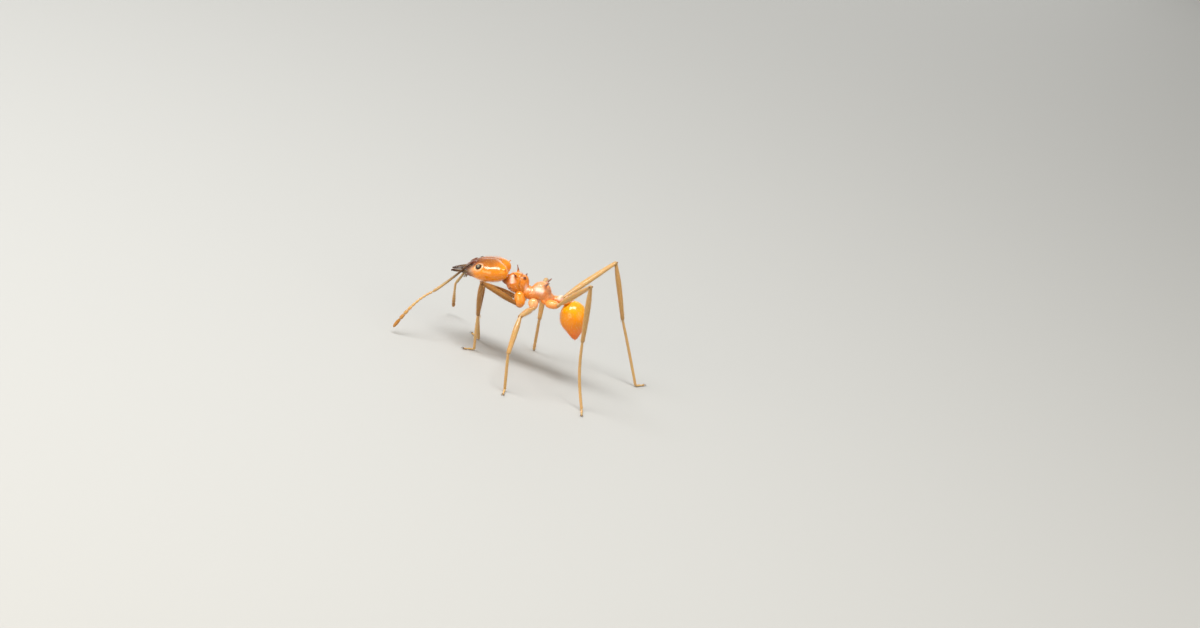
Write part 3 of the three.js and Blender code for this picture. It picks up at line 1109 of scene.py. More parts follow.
@dataclass
class HeadCapsule:
    """The heart-shaped capsule, widest behind the eyes and cleft at the back, in the head's axes."""

    length: float = 3.1
    width: float = 2.7
    height: float = 1.58
    inset: float = 0.015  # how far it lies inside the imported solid
    setback: float = 0.06  # how far its middle lies behind the head's centre
    fullness: float = 0.42
    squareness: float = 2.5
    front_taper: float = 0.34
    front_flattening: float = 0.28
    back_flattening: float = 0.06
    notch_depth: float = 0.42
    notch_width: float = 0.5

    def __post_init__(self) -> None:
        """Builds the capsule's own fine mesh, which distances are measured from."""
        work = bmesh.new()
        self.add_to(work, columns=220, rows=140)
        self.tree = BVHTree.FromBMesh(work)
        work.free()

    def place(self, ball: np.ndarray) -> np.ndarray:
        """Draws a unit ball, with its poles on x, out to the capsule.

        Args:
            ball: places on the ball.

        Returns:
            The same places on the capsule.
        """
        x = np.clip(ball[:, 0], -1, 1)
        across = np.maximum(np.hypot(ball[:, 1], ball[:, 2]), 1e-9)
        full = np.maximum(0, 1 - np.abs(x) ** self.squareness) ** self.fullness
        wide = full * (1 - self.front_taper * ramp(x, -0.3, 1))
        tall = full * (1 - self.front_flattening * ramp(x, 0.05, 1))
        tall = tall * (1 - self.back_flattening * ramp(-x, 0.35, 1))
        y = (self.width / 2 - self.inset) * wide * ball[:, 1] / across
        cleft = np.exp(-((y / self.notch_width) ** 2))
        forward = (self.length / 2 - self.inset) * x + self.notch_depth * cleft * ramp(-x, 0.15, 1)
        upward = (self.height / 2 - self.inset) * tall * ball[:, 2] / across
        return np.stack((forward - self.setback, y, upward), axis=1)

    def add_to(self, work: bmesh.types.BMesh, columns: int = 96, rows: int = 64) -> None:
        """Adds the capsule to a mesh.

        Args:
            work: the mesh.
            columns: faces round it.
            rows: faces from mouth to back.
        """
        turn = Matrix.Rotation(math.radians(90), 4, "Y")
        made = bmesh.ops.create_uvsphere(work, u_segments=columns, v_segments=rows, radius=1, matrix=turn)
        verts = made["verts"]
        for vert, at in zip(verts, self.place(np.array([v.co for v in verts]))):
            vert.co = at

    def distance(self, points: np.ndarray) -> np.ndarray:
        """How far each place lies outside the capsule.

        Args:
            points: places, one a row.

        Returns:
            Millimetres for each, less than 0 inside.
        """
        apart = np.empty(len(points))
        for i, point in enumerate(points):
            at, facing, _, gap = self.tree.find_nearest(point)
            apart[i] = gap if (Vector(point) - at).dot(facing) > 0 else -gap
        return apart


@dataclass
class Head:
    """The head with its eyes and mouthparts."""

    eye_centre: Point = (0.48, 0.88, 0.39)
    eye_radii: Point = (0.195, 0.145, 0.17)
    socket: Point = (0.96, 0.45, 0.4)
    socket_radius: float = 0.12
    carina: Line = ((1.08, 0.24, 0.42), (0.86, 0.3, 0.56), (0.5, 0.46, 0.7), (0.15, 0.6, 0.74))
    clypeal_suture: Line = ((1.34, 0.6, 0.02), (1.2, 0.36, 0.22), (1.08, 0.16, 0.42), (1.04, 0.0, 0.45))
    scrobe: Line = ((1.0, 0.62, 0.3), (0.7, 0.72, 0.42), (0.25, 0.88, 0.47))
    # where a sheen is painted on each cheek
    cheek: Point = (0.95, 0.75, 0.1)
    brow: Point = (1.0, 0.35, 0.55)
    neck: Point = (-1.2, 0.0, -0.1)
    # where a glint is painted on each eye
    eye_sheen: Point = (0.05, 0.85, 0.52)
    lens_pitch: float = 0.078  # between neighbouring lenses, on an eye of radius 1
    lens_depth: float = 0.028
    crown_spines: tuple[Spine, ...] = (
        Spine(((-1.15, 0.88, 0.2), (-1.25, 0.94, 0.28), (-1.31, 0.97, 0.33)), 0.1),
    )
    growth: Growth = Growth(spacing=0.17, length=0.15, width=0.012, lean=45)
    growth_line: tuple[Point, Point] = ((-1.6, 0, 0), (1.5, 0, 0))

    def shell(self) -> Shell:
        """The capsule with all that grows from it.

        Returns:
            A skin in the head's axes, ready to build.
        """
        lobes = [Dome((0.9, s * 0.3, 0.42), (0.28, 0.13, 0.13), tilt=24) for s in (-1, 1)]
        cheeks = [Dome((0.98, s * 0.52, -0.05), (0.36, 0.26, 0.3)) for s in (-1, 1)]
        clypeus = Dome((1.18, 0, 0.0), (0.34, 0.56, 0.26), tilt=8)
        spines = [*self.crown_spines, *(s.mirrored() for s in self.crown_spines)]
        shapes = [HeadCapsule(), clypeus, *lobes, *cheeks, *spines]
        return Shell("head", shapes, melt=0.03, grain=0.026, relief=self.relief, tones=self.tones)

    def from_eye(self, points: np.ndarray) -> np.ndarray:
        """How far out each place lies from an eye's middle, where 1 is the eye's rim."""
        apart = folded(points) - np.array(self.eye_centre)
        return np.linalg.norm(apart / np.array(self.eye_radii), axis=1)

    def relief(self, points: np.ndarray) -> np.ndarray:
        """The furrows, ridges, pits and wrinkles.

        Args:
            points: places on the skin.

        Returns:
            How far each place moves outwards.
        """
        right = folded(points)
        x, y, z = right.T
        top, under = ramp(z, 0.0, 0.3), ramp(-z, 0.05, 0.35)
        furrow = np.exp(-((y / 0.04) ** 2)) * top * ramp(0.75 - x, 0, 0.5)
        gullet = np.exp(-((y / 0.035) ** 2)) * under * ramp(0.9 - x, 0, 0.3)
        to_socket = np.linalg.norm(right - np.array(self.socket), axis=1)
        rim = np.exp(-(((to_socket - self.socket_radius - 0.03) / 0.035) ** 2)) * ramp(z, 0.1, 0.3)
        pit = np.exp(-((to_socket / self.socket_radius) ** 4)) * ramp(z, 0.1, 0.3)
        eye = self.from_eye(points)
        eye_rim = np.exp(-(((eye - 1.32) / 0.14) ** 2))
        eye_groove = np.exp(-(((eye - 1.06) / 0.12) ** 2))
        wrinkles = np.sin(62 * z + 5 * np.sin(3.1 * x + 2 * y)) * ramp(x, 0.5, 0.95) * ramp(y, 0.45, 0.7)
        notch = np.exp(-(((x - 1.42) / 0.1) ** 2) - (y / 0.12) ** 2)
        swell = unevenness(points, 0.42)
        return (
            -0.028 * furrow
            - 0.022 * gullet
            + 0.03 * rim
            - 0.085 * pit
            + 0.04 * near_line(right, self.carina, 0.035)
            - 0.03 * near_line(right, self.scrobe, 0.11)
            - 0.02 * near_line(right, self.clypeal_suture, 0.03)
            + 0.022 * eye_rim
            - 0.03 * eye_groove
            + 0.0045 * wrinkles
            - 0.04 * notch
            + 0.006 * swell
        )

    def tones(self, points: np.ndarray) -> Arrays:
        """The head's markings, with painted shade on its top and upper rear and painted sheen round the
        eyes and on the cheeks.

        Args:
            points: places on the skin.

        Returns:
            Darkness and paleness.
        """
        right = folded(points)
        x, _, z = right.T
        # The face's darkening is its own colour; the darkening of the top is painted shade.
        dark = 0.85 * ramp(x - 0.3 * z, 0.68, 1.2) + 0.55 * ramp(z, 0.2, 0.7) * ramp(x, -1.4, -0.2)
        # side: painted shade on the upper rear of the head
        side = 0.22 * ramp(z, -0.45, 0.0) * ramp(x, -1.3, -0.6)
        dark += side + 0.45 * near_point(right, self.brow, 0.42)
        dark += 0.45 * near_point(right, self.socket, 0.24) + 0.3 * near_line(right, self.carina, 0.06)
        dark += 0.3 * np.exp(-(((self.from_eye(points) - 1.08) / 0.16) ** 2))
        for spine in self.crown_spines:
            apart, share = from_line(right, spine.line)
            dark += 0.6 * ramp(share, 0.35, 1.0) * ramp(0.14 - apart, 0, 0.06)
        # painted sheen: a pale ring round each eye and a pale spot on each cheek
        pale = 0.5 * np.exp(-(((self.from_eye(points) - 1.5) / 0.35) ** 2))
        return dark, pale + 0.35 * near_point(right, self.cheek, 0.25)

    def build_eye(self, side: Side) -> None:
        """Makes one compound eye, a dome of small lenses, with a glint painted on it.

        Args:
            side: which eye.
        """
        lenses = bmesh.new()
        bmesh.ops.create_icosphere(lenses, subdivisions=4, radius=1)
        middles = [v.co.copy() for v in lenses.verts]
        lenses.free()
        tree = BVHTree.FromPolygons(middles, [(i, i, i) for i in range(len(middles))])
        made = Workpiece()
        verts = bmesh.ops.create_icosphere(made.work, subdivisions=6, radius=1)["verts"]
        for vert in verts:
            apart = tree.find_nearest(vert.co)[3]
            edge = min(1.0, apart / (0.5 * self.lens_pitch))
            vert.co *= 1 - self.lens_depth * edge**2
            vert[made.shade] = 0.9 * edge**3
            # painted glint: a pale spot on the lenses, fading outwards
            vert[made.pale] = 0.6 * math.exp(-(((vert.co - Vector(self.eye_sheen)).length / 0.42) ** 2))
        place = Matrix.Translation(self.eye_centre) @ Matrix.Diagonal((*self.eye_radii, 1))
        piece = made.piece(f"eye_{side.word}", HEAD.matrix(side) @ place)
        hand_over(piece, LENSES, [f"eye_{side.word}"])

    def haired(self, places: np.ndarray) -> np.ndarray:
        """Where the head's bristles grow: not on the eyes, the sockets or the neck.

        Args:
            places: places on the finished skin, in the body's axes.

        Returns:
            The share of them wanted at each place.
        """
        back = np.array(HEAD.matrix().inverted())
        points = places @ back[:3, :3].T + back[:3, 3]
        clear = ramp(self.from_eye(points), 1.3, 1.6)
        to_socket = np.linalg.norm(folded(points) - np.array(self.socket), axis=1)
        clear *= ramp(to_socket, 0.14, 0.2)
        neck = near_point(points, self.neck, 0.4)
        return clear * (1 - np.clip(2 * neck, 0, 1)) * (0.45 + 0.55 * ramp(points[:, 2], -0.3, 0.1))

    def build(self) -> None:
        """Makes the head and what it carries."""
        hand_over(move_to_head(self.shell().build(), Side.RIGHT), AMBER, ["head"])
        for side in Side:
            self.build_eye(side)
        back, mouth = (HEAD.matrix() @ Vector(place) for place in self.growth_line)
        Coat("bristles_head", [Patch("head", back, mouth, self.growth, self.haired)]).build()


@dataclass(frozen=True)
class Blade:
    """A jaw's triangular blade, in the head's axes: broad at the root, straight on the inside."""

    root: float = 1.16
    reach: float = 1.12
    inner: float = 0.23
    outer: float = 0.72
    middle: float = -0.05  # height of the root's middle
    dip: float = 0.03  # how far the tip hangs below it
    roll: float = 0.2  # rise outwards
    thickness: float = 0.13
    tip_half: float = 0.03  # the least half width
    flare: float = 0.08  # how far the inner edge stands back at the root
    overlap: float = 0.02  # how much fatter the rough balls are, so that they join

    def sections(self, x: np.ndarray) -> tuple[np.ndarray, np.ndarray, np.ndarray, np.ndarray]:
        """The blade's cross sections.

        Args:
            x: how far forward each lies.

        Returns:
            The middle across, the half width, the middle's height and the half thickness.
        """
        share = np.clip((x - self.root) / self.reach, 0, 1)
        outside = self.outer - (self.outer - self.inner - self.tip_half) * share**2.3
        inside = self.inner + self.flare * (1 - ramp(share, 0.0, 0.35))
        half = np.maximum((outside - inside) / 2, self.tip_half)
        thick = self.thickness * (1 - 0.62 * share) + 0.012
        return (outside + inside) / 2, half, self.middle - self.dip * share**1.5, thick

    def add_to(self, work: bmesh.types.BMesh) -> None:
        """Adds the rough blade as flattened balls strung from root to tip.

        Args:
            work: the mesh.
        """
        for x in np.linspace(self.root, self.root + self.reach, 22):
            across, half, height, thick = (float(v) for v in self.sections(np.array(x)))
            size = Matrix.Diagonal((0.08, half + self.overlap, thick + self.overlap, 1))
            matrix = Matrix.Translation((x, across, height)) @ size
            bmesh.ops.create_uvsphere(work, u_segments=20, v_segments=10, radius=1, matrix=matrix)

    def distance(self, points: np.ndarray) -> np.ndarray:
        """How far each place lies outside the blade, nearly.

        Args:
            points: places, one a row.

        Returns:
            Millimetres for each, less than 0 inside.
        """
        x, y, z = points.T
        across, half, height, thick = self.sections(x)
        tilt = self.roll * (y - across)
        ring = np.sqrt(np.abs((y - across) / half) ** 2.6 + ((z - height - tilt) / thick) ** 2)
        beyond = np.maximum(x - self.root - self.reach, self.root - x)
        return np.maximum((ring - 1) * np.minimum(half, thick), beyond)


@dataclass
class Mouth:
    """The two jaws, and the lip and feelers under them."""

    blade: Blade = Blade()
    teeth: int = 9
    toothed: tuple[float, float] = (0.24, 0.9)  # shares of the reach that carry teeth
    tooth_length: float = 0.105
    tooth_radius: float = 0.05
    last_tooth: Spine = Spine(
        ((2.12, 0.32, -0.07), (2.25, 0.23, -0.085), (2.31, 0.13, -0.1)), 0.085, 0.014, 0.9
    )
    growth: Growth = Growth(spacing=0.13, length=0.1, width=0.011, lean=55)
    growth_line: tuple[Point, Point] = ((1.1, 0.4, 0), (2.3, 0.2, 0))
    feelers: tuple[tuple[Point, Point, Point], ...] = (
        ((1.24, 0.2, -0.33), (1.44, 0.26, -0.42), (1.54, 0.24, -0.56)),
        ((1.22, 0.09, -0.38), (1.36, 0.1, -0.48), (1.42, 0.09, -0.6)),
    )  # root, elbow and tip of each

    def jaw_teeth(self) -> list[Spine]:
        """The teeth on the inner edge, longest near the tip.

        Returns:
            The last tooth and then the others, from the root on.
        """
        made = [self.last_tooth]
        low, high = self.toothed
        for i in range(self.teeth):
            share = low + (high - low) * i / (self.teeth - 1)
            x = self.blade.root + self.blade.reach * share
            across, half, height, _ = (float(v) for v in self.blade.sections(np.array(x)))
            length = self.tooth_length * (0.55 + 0.45 * share) * (1.15 if i % 2 else 0.85)
            root = (x, across - half + 0.03, height - 0.03)
            tip = (x + 0.3 * length, across - half - length, height - 0.05)
            made.append(Spine((root, tip), self.tooth_radius, 0.01, 1.0))
        return made

    def jaw_relief(self, points: np.ndarray) -> np.ndarray:
        """Long striations that run towards the teeth."""
        x, y, z = points.T
        ridges = np.sin(70 * (y + 0.25 * x) + 2 * np.sin(6 * x))
        return 0.0035 * ridges * ramp(x, 1.25, 1.5) * ramp(z, -0.35, -0.05)

    def jaw_tones(self, points: np.ndarray) -> Arrays:
        """Darkest at the teeth and the tip, and browner on the broad face.

        Args:
            points: places on the skin.

        Returns:
            Darkness and paleness.
        """
        x, y, _ = points.T
        edge = ramp(0.36 - y, 0, 0.2) * ramp(x, 1.35, 1.6)
        dark = np.maximum(0.85 * edge, 0.5 * ramp(x, 1.7, 2.3))
        return dark, 0.12 * (1 - edge) * ramp(1.9 - x, 0, 0.6)

    def build_jaw(self, side: Side) -> None:
        """Makes one jaw.

        Args:
            side: which jaw.
        """
        name = f"mandible_{side.word}"
        shapes = [self.blade, *self.jaw_teeth()]
        shell = Shell(name, shapes, melt=0.012, grain=0.017, relief=self.jaw_relief, tones=self.jaw_tones)
        hand_over(move_to_head(shell.build(), side), BROWN, [name])

    def build_lip(self) -> None:
        """Makes the lip, the tongue's sheath and the short feelers behind the jaws."""
        made = Workpiece()
        brown = (0.25, 0.1)
        made.ball(Vector((1.32, 0, -0.2)), (0.2, 0.26, 0.07), Matrix.Rotation(0.5, 4, "Y"), brown)
        made.ball(Vector((1.14, 0, -0.3)), (0.26, 0.2, 0.12), Matrix.Rotation(0.25, 4, "Y"), brown)
        jointed = LimbForm(Profile(((0, 0.032), (0.5, 0.04), (1, 0.022))), 1.0, 0.02, 10, 8)
        for side in Side:
            made.ball(side.of((1.02, 0.24, -0.3)), (0.3, 0.12, 0.1), None, brown)
            for root, elbow, tip in self.feelers:
                made.limb(side.of(root), side.of(elbow), jointed, SIDEWAYS, lambda t: (0.1, 0.3))
                made.limb(side.of(elbow), side.of(tip), jointed, SIDEWAYS, lambda t: (0.1, 0.4))
        hand_over(made.piece("mouthparts", HEAD.matrix()), BROWN, [], rounding=1)

    def build(self) -> None:
        """Makes all of it."""
        for side in Side:
            self.build_jaw(side)
        self.build_lip()
        patches = []
        for side in Side:
            root, tip = (HEAD.matrix(side) @ Vector(place) for place in self.growth_line)
            patches.append(Patch(f"mandible_{side.word}", root, tip, self.growth))
        Coat("bristles_jaws", patches).build()


# ---------------------------------------------------------------- antennae


@dataclass(frozen=True)
class AntennaPose:
    """Where one antenna is held."""

    elbow: Point
    bend: Point
    tip: Point


@dataclass
class Antenna:
    """An elbowed antenna: a long scape, and a whip of eleven short joints that thickens to a club."""

    side: Side
    pose: AntennaPose
    socket: Point = (0.96, 0.45, 0.31)
    collar: Point = (1.02, 0.48, 0.5)
    shaft: Profile = Profile(
        ((0, 0.08), (0.03, 0.045), (0.06, 0.062), (0.7, 0.092), (0.93, 0.105), (1, 0.06))
    )
    flatness: float = 0.92
    bow: float = 0.05  # how far the scape's middle stands off the straight line
    closed_end: float = 0.03  # the radius of its first and last ring
    whip: float = 3.2  # the length that the joints' lengths add up to
    first_joint: float = 0.3
    last_joint: float = 0.5
    joints: int = 10
    thin: float = 0.078
    thick: float = 0.118
    joint_base: Rows = ((0.0, 0.3), (0.03, 0.62), (0.09, 0.74), (0.22, 0.9), (0.45, 1.0))  # length, radius
    joint_end: Rows = ((0.75, 1.03), (0.9, 0.96), (0.97, 0.7), (1.0, 0.28))
    club_end: Rows = ((0.62, 1.0), (0.82, 0.8), (0.93, 0.52), (1.0, 0.28))
    scape_growth: Growth = Growth(spacing=0.11, length=0.13, width=0.011, lean=58)
    whip_growth: Growth = Growth(spacing=0.065, length=0.065, width=0.008, lean=60)

    def scape_tone(self, share: float) -> Tone:
        """Dark brown at the head, clearing to straw at the elbow."""
        dark = 0.75 * float(1 - ramp(share, 0.0, 0.35)) + 0.5 * math.exp(-(((1 - share) / 0.03) ** 2))
        return dark, 0.85 * float(ramp(share, 0.3, 0.85))

    def build_scape(self) -> None:
        """Makes the long first joint."""
        head = HEAD.matrix(self.side)
        root, collar = head @ Vector(self.socket), head @ Vector(self.collar)
        elbow = Vector(self.pose.elbow)
        knee = collar.lerp(elbow, 0.1)
        turning, steps = 10, 40
        path = []
        for t in (i / turning for i in range(turning)):
            path.append(root.lerp(collar, t).lerp(collar.lerp(knee, t), t))
        across = (elbow - knee).cross(SIDEWAYS).normalized()
        for i in range(steps + 1):
            path.append(knee.lerp(elbow, i / steps) + across * (self.bow * math.sin(math.pi * i / steps)))
        travelled = [0.0]
        for a, b in pairwise(path):
            travelled.append(travelled[-1] + (b - a).length)
        shares = [t / travelled[-1] for t in travelled]
        radii = [(self.shaft.at(s), self.shaft.at(s) * self.flatness) for s in shares]
        radii[0] = radii[-1] = (self.closed_end, self.closed_end)
        made = Workpiece()
        made.grow(path, radii, SIDEWAYS, None, 20, self.scape_tone)
        made.ball(root, (0.1, 0.1, 0.1), None, (0.8, 0.0))
        name = f"antenna_scape_{self.side.word}"
        hand_over(made.piece(name), BROWN, [name], rounding=1)

    def along_whip(self, share: float) -> Vector:
        """A place on the whip's soft curve."""
        elbow, bend, tip = Vector(self.pose.elbow), Vector(self.pose.bend), Vector(self.pose.tip)
        guide = bend * 2 - (elbow + tip) / 2
        return elbow.lerp(guide, share).lerp(guide.lerp(tip, share), share)

    def whip_tone(self, share: float) -> Tone:
        """Straw, a little dark at each joint and warmer towards the club's tip."""
        return 0.32 * float(ramp(share, 0.55, 1.0)), 0.55 * float(1 - ramp(share, 0.5, 0.95))

    def build_whip(self) -> None:
        """Makes the jointed whip, one joint after another."""
        made = Workpiece()
        first, final = self.first_joint / self.whip, self.last_joint / self.whip
        plain = (1 - first - final) / (self.joints - 2)
        spans = [first, *([plain] * (self.joints - 2)), final]
        start = 0.0
        for i, span in enumerate(spans):
            size = self.thin + (self.thick - self.thin) * float(ramp(i / (self.joints - 1), 0.35, 0.9))
            rows = [*self.joint_base, *(self.joint_end if i < self.joints - 1 else self.club_end)]
            path = [self.along_whip(start + span * s) for s, _ in rows]
            radii = [(size * r, size * r) for _, r in rows]
            middle = self.whip_tone(start + span / 2)
            ring_tones = [(middle[0] + (0.4 if not 0.08 <= s <= 0.95 else 0.0), middle[1]) for s, _ in rows]
            last = len(rows) - 1
            made.grow(path, radii, SIDEWAYS, None, 16, lambda t, tones=ring_tones: tones[round(t * last)])
            start += span
        name = f"antenna_flagellum_{self.side.word}"
        hand_over(made.piece(name), STRAW, [name], rounding=1)

    def build(self) -> None:
        """Makes the antenna."""
        self.build_scape()
        self.build_whip()
        word, root = self.side.word, HEAD.matrix(self.side) @ Vector(self.collar)
        elbow, tip = Vector(self.pose.elbow), Vector(self.pose.tip)
        patches = [
            Patch(f"antenna_scape_{word}", root, elbow, self.scape_growth),
            Patch(f"antenna_flagellum_{word}", elbow, tip, self.whip_growth),
        ]
        Coat(f"bristles_antenna_{word}", patches).build()


ANTENNA_POSES = {
    Side.LEFT: AntennaPose((-7.74, -1.6, 3.09), (-8.51, -2.2, 2.13), (-9.22, -2.97, 0.4)),
    Side.RIGHT: AntennaPose((-6.72, 2.1, 2.85), (-6.6, 2.85, 1.9), (-6.4, 3.9, 0.6)),
}


# ---------------------------------------------------------------- trunk and waist


@dataclass
class Trunk:
    """The mesosoma: the plates that carry the legs, melted into one skin, with three pairs of spines."""

    domes: tuple[Dome, ...] = (
        Dome((-2.98, 0, 5.22), (0.66, 0.64, 0.68)),
        Dome((-3.54, 0, 5.17), (0.46, 0.33, 0.33)),
        Dome((-2.62, 0, 5.2), (0.44, 0.53, 0.66)),
        Dome((-1.98, 0, 4.9), (0.7, 0.51, 0.43)),
        Dome((-1.3, 0, 5.26), (0.65, 0.49, 0.63)),
        Dome((-0.72, 0, 5.0), (0.42, 0.39, 0.39)),
    )
    spines: tuple[Spine, ...] = (
        Spine(((-3.1, 0.38, 5.62), (-3.19, 0.64, 5.83), (-3.35, 0.91, 6.01)), 0.14, 0.026, 1.7),
        Spine(((-2.58, 0.26, 5.64), (-2.58, 0.32, 5.8), (-2.57, 0.37, 5.91)), 0.13, 0.024, 1.5),
        Spine(((-1.27, 0.26, 5.62), (-1.14, 0.38, 5.9), (-1.0, 0.48, 6.12)), 0.15, 0.035, 1.3),
        Spine(((-3.16, 0.52, 4.96), (-3.24, 0.64, 4.9), (-3.3, 0.7, 4.86)), 0.09, 0.02, 1.5),
    )
    neck: Spine = Spine(((-3.6, 0, 5.19), (-4.1, 0, 5.36)), 0.24, 0.17, 1.0)
    gland: Dome = Dome((-0.86, 0.3, 4.76), (0.24, 0.16, 0.15), 12)
    waist_suture: Line = ((-2.16, 0, 5.76), (-2.08, 0.3, 5.6), (-2.02, 0.5, 5.3), (-1.9, 0.52, 5.0))
    front_suture: Line = ((-2.78, 0, 5.92), (-2.84, 0.4, 5.74), (-2.74, 0.62, 5.3), (-2.56, 0.58, 4.9))
    side_suture: Line = ((-1.86, 0.52, 5.0), (-1.5, 0.52, 4.86), (-1.2, 0.46, 4.62))
    # collar: where a highlight is painted on the pronotum's front
    collar: Line = ((-3.3, 0.2, 5.66), (-3.32, 0.44, 5.48), (-3.18, 0.6, 5.22))
    # flank: where a highlight band is painted along the side
    flank: Line = ((-2.45, 0.46, 5.26), (-1.7, 0.48, 5.42), (-1.05, 0.46, 5.5))
    # where shade is painted behind the propodeal spines
    rear_slope: Line = ((-0.98, 0.28, 5.8), (-0.72, 0.28, 5.5), (-0.6, 0.26, 5.1))
    keel: Line = ((-2.4, 0.2, 5.84), (-2.7, 0.26, 5.84), (-2.95, 0.3, 5.8))
    back_keel: Line = ((-1.7, 0.18, 5.76), (-1.4, 0.24, 5.82), (-1.15, 0.28, 5.76))
    breathing_holes: Line = ((-2.56, 0.56, 5.4), (-1.12, 0.46, 5.34))
    growth: Growth = Growth(spacing=0.19, length=0.24, width=0.014, lean=40)
    growth_line: tuple[Point, Point] = ((-3.9, 0, 5.1), (-0.3, 0, 5.1))

    def relief(self, points: np.ndarray) -> np.ndarray:
        """The sutures, ridges and breathing holes.

        Args:
            points: places on the skin.

        Returns:
            How far each place moves outwards.
        """
        right = folded(points)
        x, y, z = right.T
        moved = -0.05 * near_line(right, self.waist_suture, 0.07, 0.02)
        moved -= 0.035 * near_line(right, self.front_suture, 0.035, 0.02)
        moved -= 0.03 * near_line(right, self.side_suture, 0.035)
        for hole in self.breathing_holes:
            apart = np.linalg.norm(right - np.array(hole), axis=1)
            moved += 0.02 * np.exp(-(((apart - 0.07) / 0.03) ** 2)) - 0.035 * np.exp(-((apart / 0.04) ** 2))
        moved += 0.03 * near_line(right, self.keel, 0.045)
        moved += 0.025 * near_line(right, self.back_keel, 0.045)
        gutter = np.exp(-((y / 0.05) ** 2)) * ramp(z, 5.3, 5.6) * ramp(x, -2.0, -1.6)
        flank = ramp(0.62 - np.abs(z - 4.95), 0, 0.3)
        wrinkles = np.sin(40 * x + 14 * z + 3 * np.sin(9 * z)) * flank * ramp(y, 0.26, 0.4)
        swells = 0.014 * unevenness(points, 0.34) + 0.008 * unevenness(points + 7.3, 0.13)
        return moved - 0.02 * gutter + 0.009 * wrinkles * ramp(x, -2.6, -2.2) + swells

    def tones(self, points: np.ndarray) -> Arrays:
        """The trunk's markings, with painted highlights on the collar and flank and painted shade at the
        neck, low at the front and on the rear slope.

        Args:
            points: places on the skin.

        Returns:
            Darkness and paleness.
        """
        right = folded(points)
        x, _, z = right.T
        dark = 0.3 * near_line(right, self.waist_suture, 0.09, 0.02)
        front = 0.4 * near_line(right, self.front_suture, 0.05, 0.02)
        dark += front + 0.35 * near_line(right, self.side_suture, 0.05)
        # Darker at the neck and low at the front: the neck is partly its own dark joint, and both are
        # painted shade under the head.
        dark += 0.7 * ramp(-3.38 - x, 0, 0.35) + 0.3 * ramp(5.0 - z, 0.1, 0.4) * ramp(-2.3 - x, 0, 0.3)
        # painted shade on the rear slope behind the spines
        dark += 0.5 * near_line(right, self.rear_slope, 0.18)
        for spine in self.spines:
            apart, share = from_line(right, spine.line)
            dark += 0.95 * ramp(share, 0.15, 0.6) * ramp(0.17 - apart, 0, 0.06)
        # paler on the upper rear of the trunk: partly its own paler tone, partly painted sheen
        pale = 0.12 * ramp(x, -2.1, -1.7) * ramp(z, 4.5, 5.3)
        # painted highlights: pale patches on the collar and along the flank
        pale += 0.9 * near_line(right, self.collar, 0.16) + 0.85 * near_line(right, self.flank, 0.18)
        return dark, pale

    def haired(self, places: np.ndarray) -> np.ndarray:
        """Where the trunk's bristles grow: not on the spines' points, and few underneath.

        Args:
            places: places on the finished skin.

        Returns:
            The share of them wanted at each place.
        """
        wanted = 0.3 + 0.7 * ramp(places[:, 2], 4.7, 5.2)
        for spine in self.spines:
            apart, share = from_line(folded(places), spine.line)
            wanted *= 1 - ramp(share, 0.3, 0.5) * (apart < 0.14)
        return wanted

    def build(self) -> None:
        """Makes the trunk's skin."""
        glands = [self.gland, self.gland.mirrored()]
        spines = [*self.spines, *(s.mirrored() for s in self.spines)]
        shapes = [*self.domes, self.neck, *glands, *spines]
        shell = Shell("mesosoma", shapes, melt=0.035, grain=0.022, relief=self.relief, tones=self.tones)
        hand_over(shell.build(), SADDLE, ["pronotum", "mesothorax", "propodeum"])
        start, end = (Vector(place) for place in self.growth_line)
        Coat("bristles_trunk", [Patch("mesosoma", start, end, self.growth, self.haired)]).build()


@dataclass
class Waist:
    """The two narrow segments between trunk and gaster."""

    stem: Spine = Spine(((-0.52, 0, 5.0), (-0.1, 0, 5.08), (0.22, 0, 5.17)), 0.15, 0.15)
    node: Dome = Dome((-0.02, 0, 5.17), (0.19, 0.25, 0.28))
    node_teeth: tuple[Spine, ...] = (Spine(((0.0, 0.12, 5.38), (0.03, 0.17, 5.48)), 0.06),)
    second: Dome = Dome((0.46, 0, 5.26), (0.25, 0.43, 0.31), 30)
    second_lump: Dome = Dome((0.44, 0.3, 5.34), (0.16, 0.14, 0.16))
    hinge: Spine = Spine(((0.2, 0, 5.17), (0.82, 0, 5.28)), 0.13, 0.18, 1.0)
    growth: Growth = Growth(spacing=0.14, length=0.2, width=0.013, lean=42)
    growth_line: tuple[Point, Point] = ((-0.6, 0, 5.1), (0.9, 0, 5.2))

    def node_tones(self, points: np.ndarray) -> Arrays:
        """Straw, with dark rims at the two ends of the stem."""
        x = points[:, 0]
        dark = 0.5 * ramp(-0.36 - x, 0, 0.08) + 0.45 * ramp(x, 0.1, 0.2)
        return dark, 0.7 * ramp(points[:, 2], 5.1, 5.3)

    def second_tones(self, points: np.ndarray) -> Arrays:
        """Amber, darker round both openings."""
        x = points[:, 0]
        dark = 0.45 * ramp(0.3 - x, 0, 0.1) + 0.4 * ramp(x, 0.62, 0.74)
        return dark, 0.42 * ramp(points[:, 2], 5.24, 5.54)

    def uneven(self, points: np.ndarray) -> np.ndarray:
        """Slight swells all over."""
        return 0.007 * unevenness(points, 0.2)

    def build(self) -> None:
        """Makes both segments."""
        teeth = [*self.node_teeth, *(s.mirrored() for s in self.node_teeth)]
        lumps = [self.second_lump, self.second_lump.mirrored()]
        for name, shapes, melt, tones in (
            ("petiole", [self.stem, self.node, *teeth], 0.03, self.node_tones),
            ("postpetiole", [self.second, *lumps, self.hinge], 0.04, self.second_tones),
        ):
            shell = Shell(name, shapes, melt, grain=0.018, relief=self.uneven, tones=tones)
            hand_over(shell.build(), SADDLE, [name])
        start, end = (Vector(place) for place in self.growth_line)
        patches = [Patch(name, start, end, self.growth) for name in ("petiole", "postpetiole")]
        Coat("bristles_waist", patches).build()


# ---------------------------------------------------------------- gaster


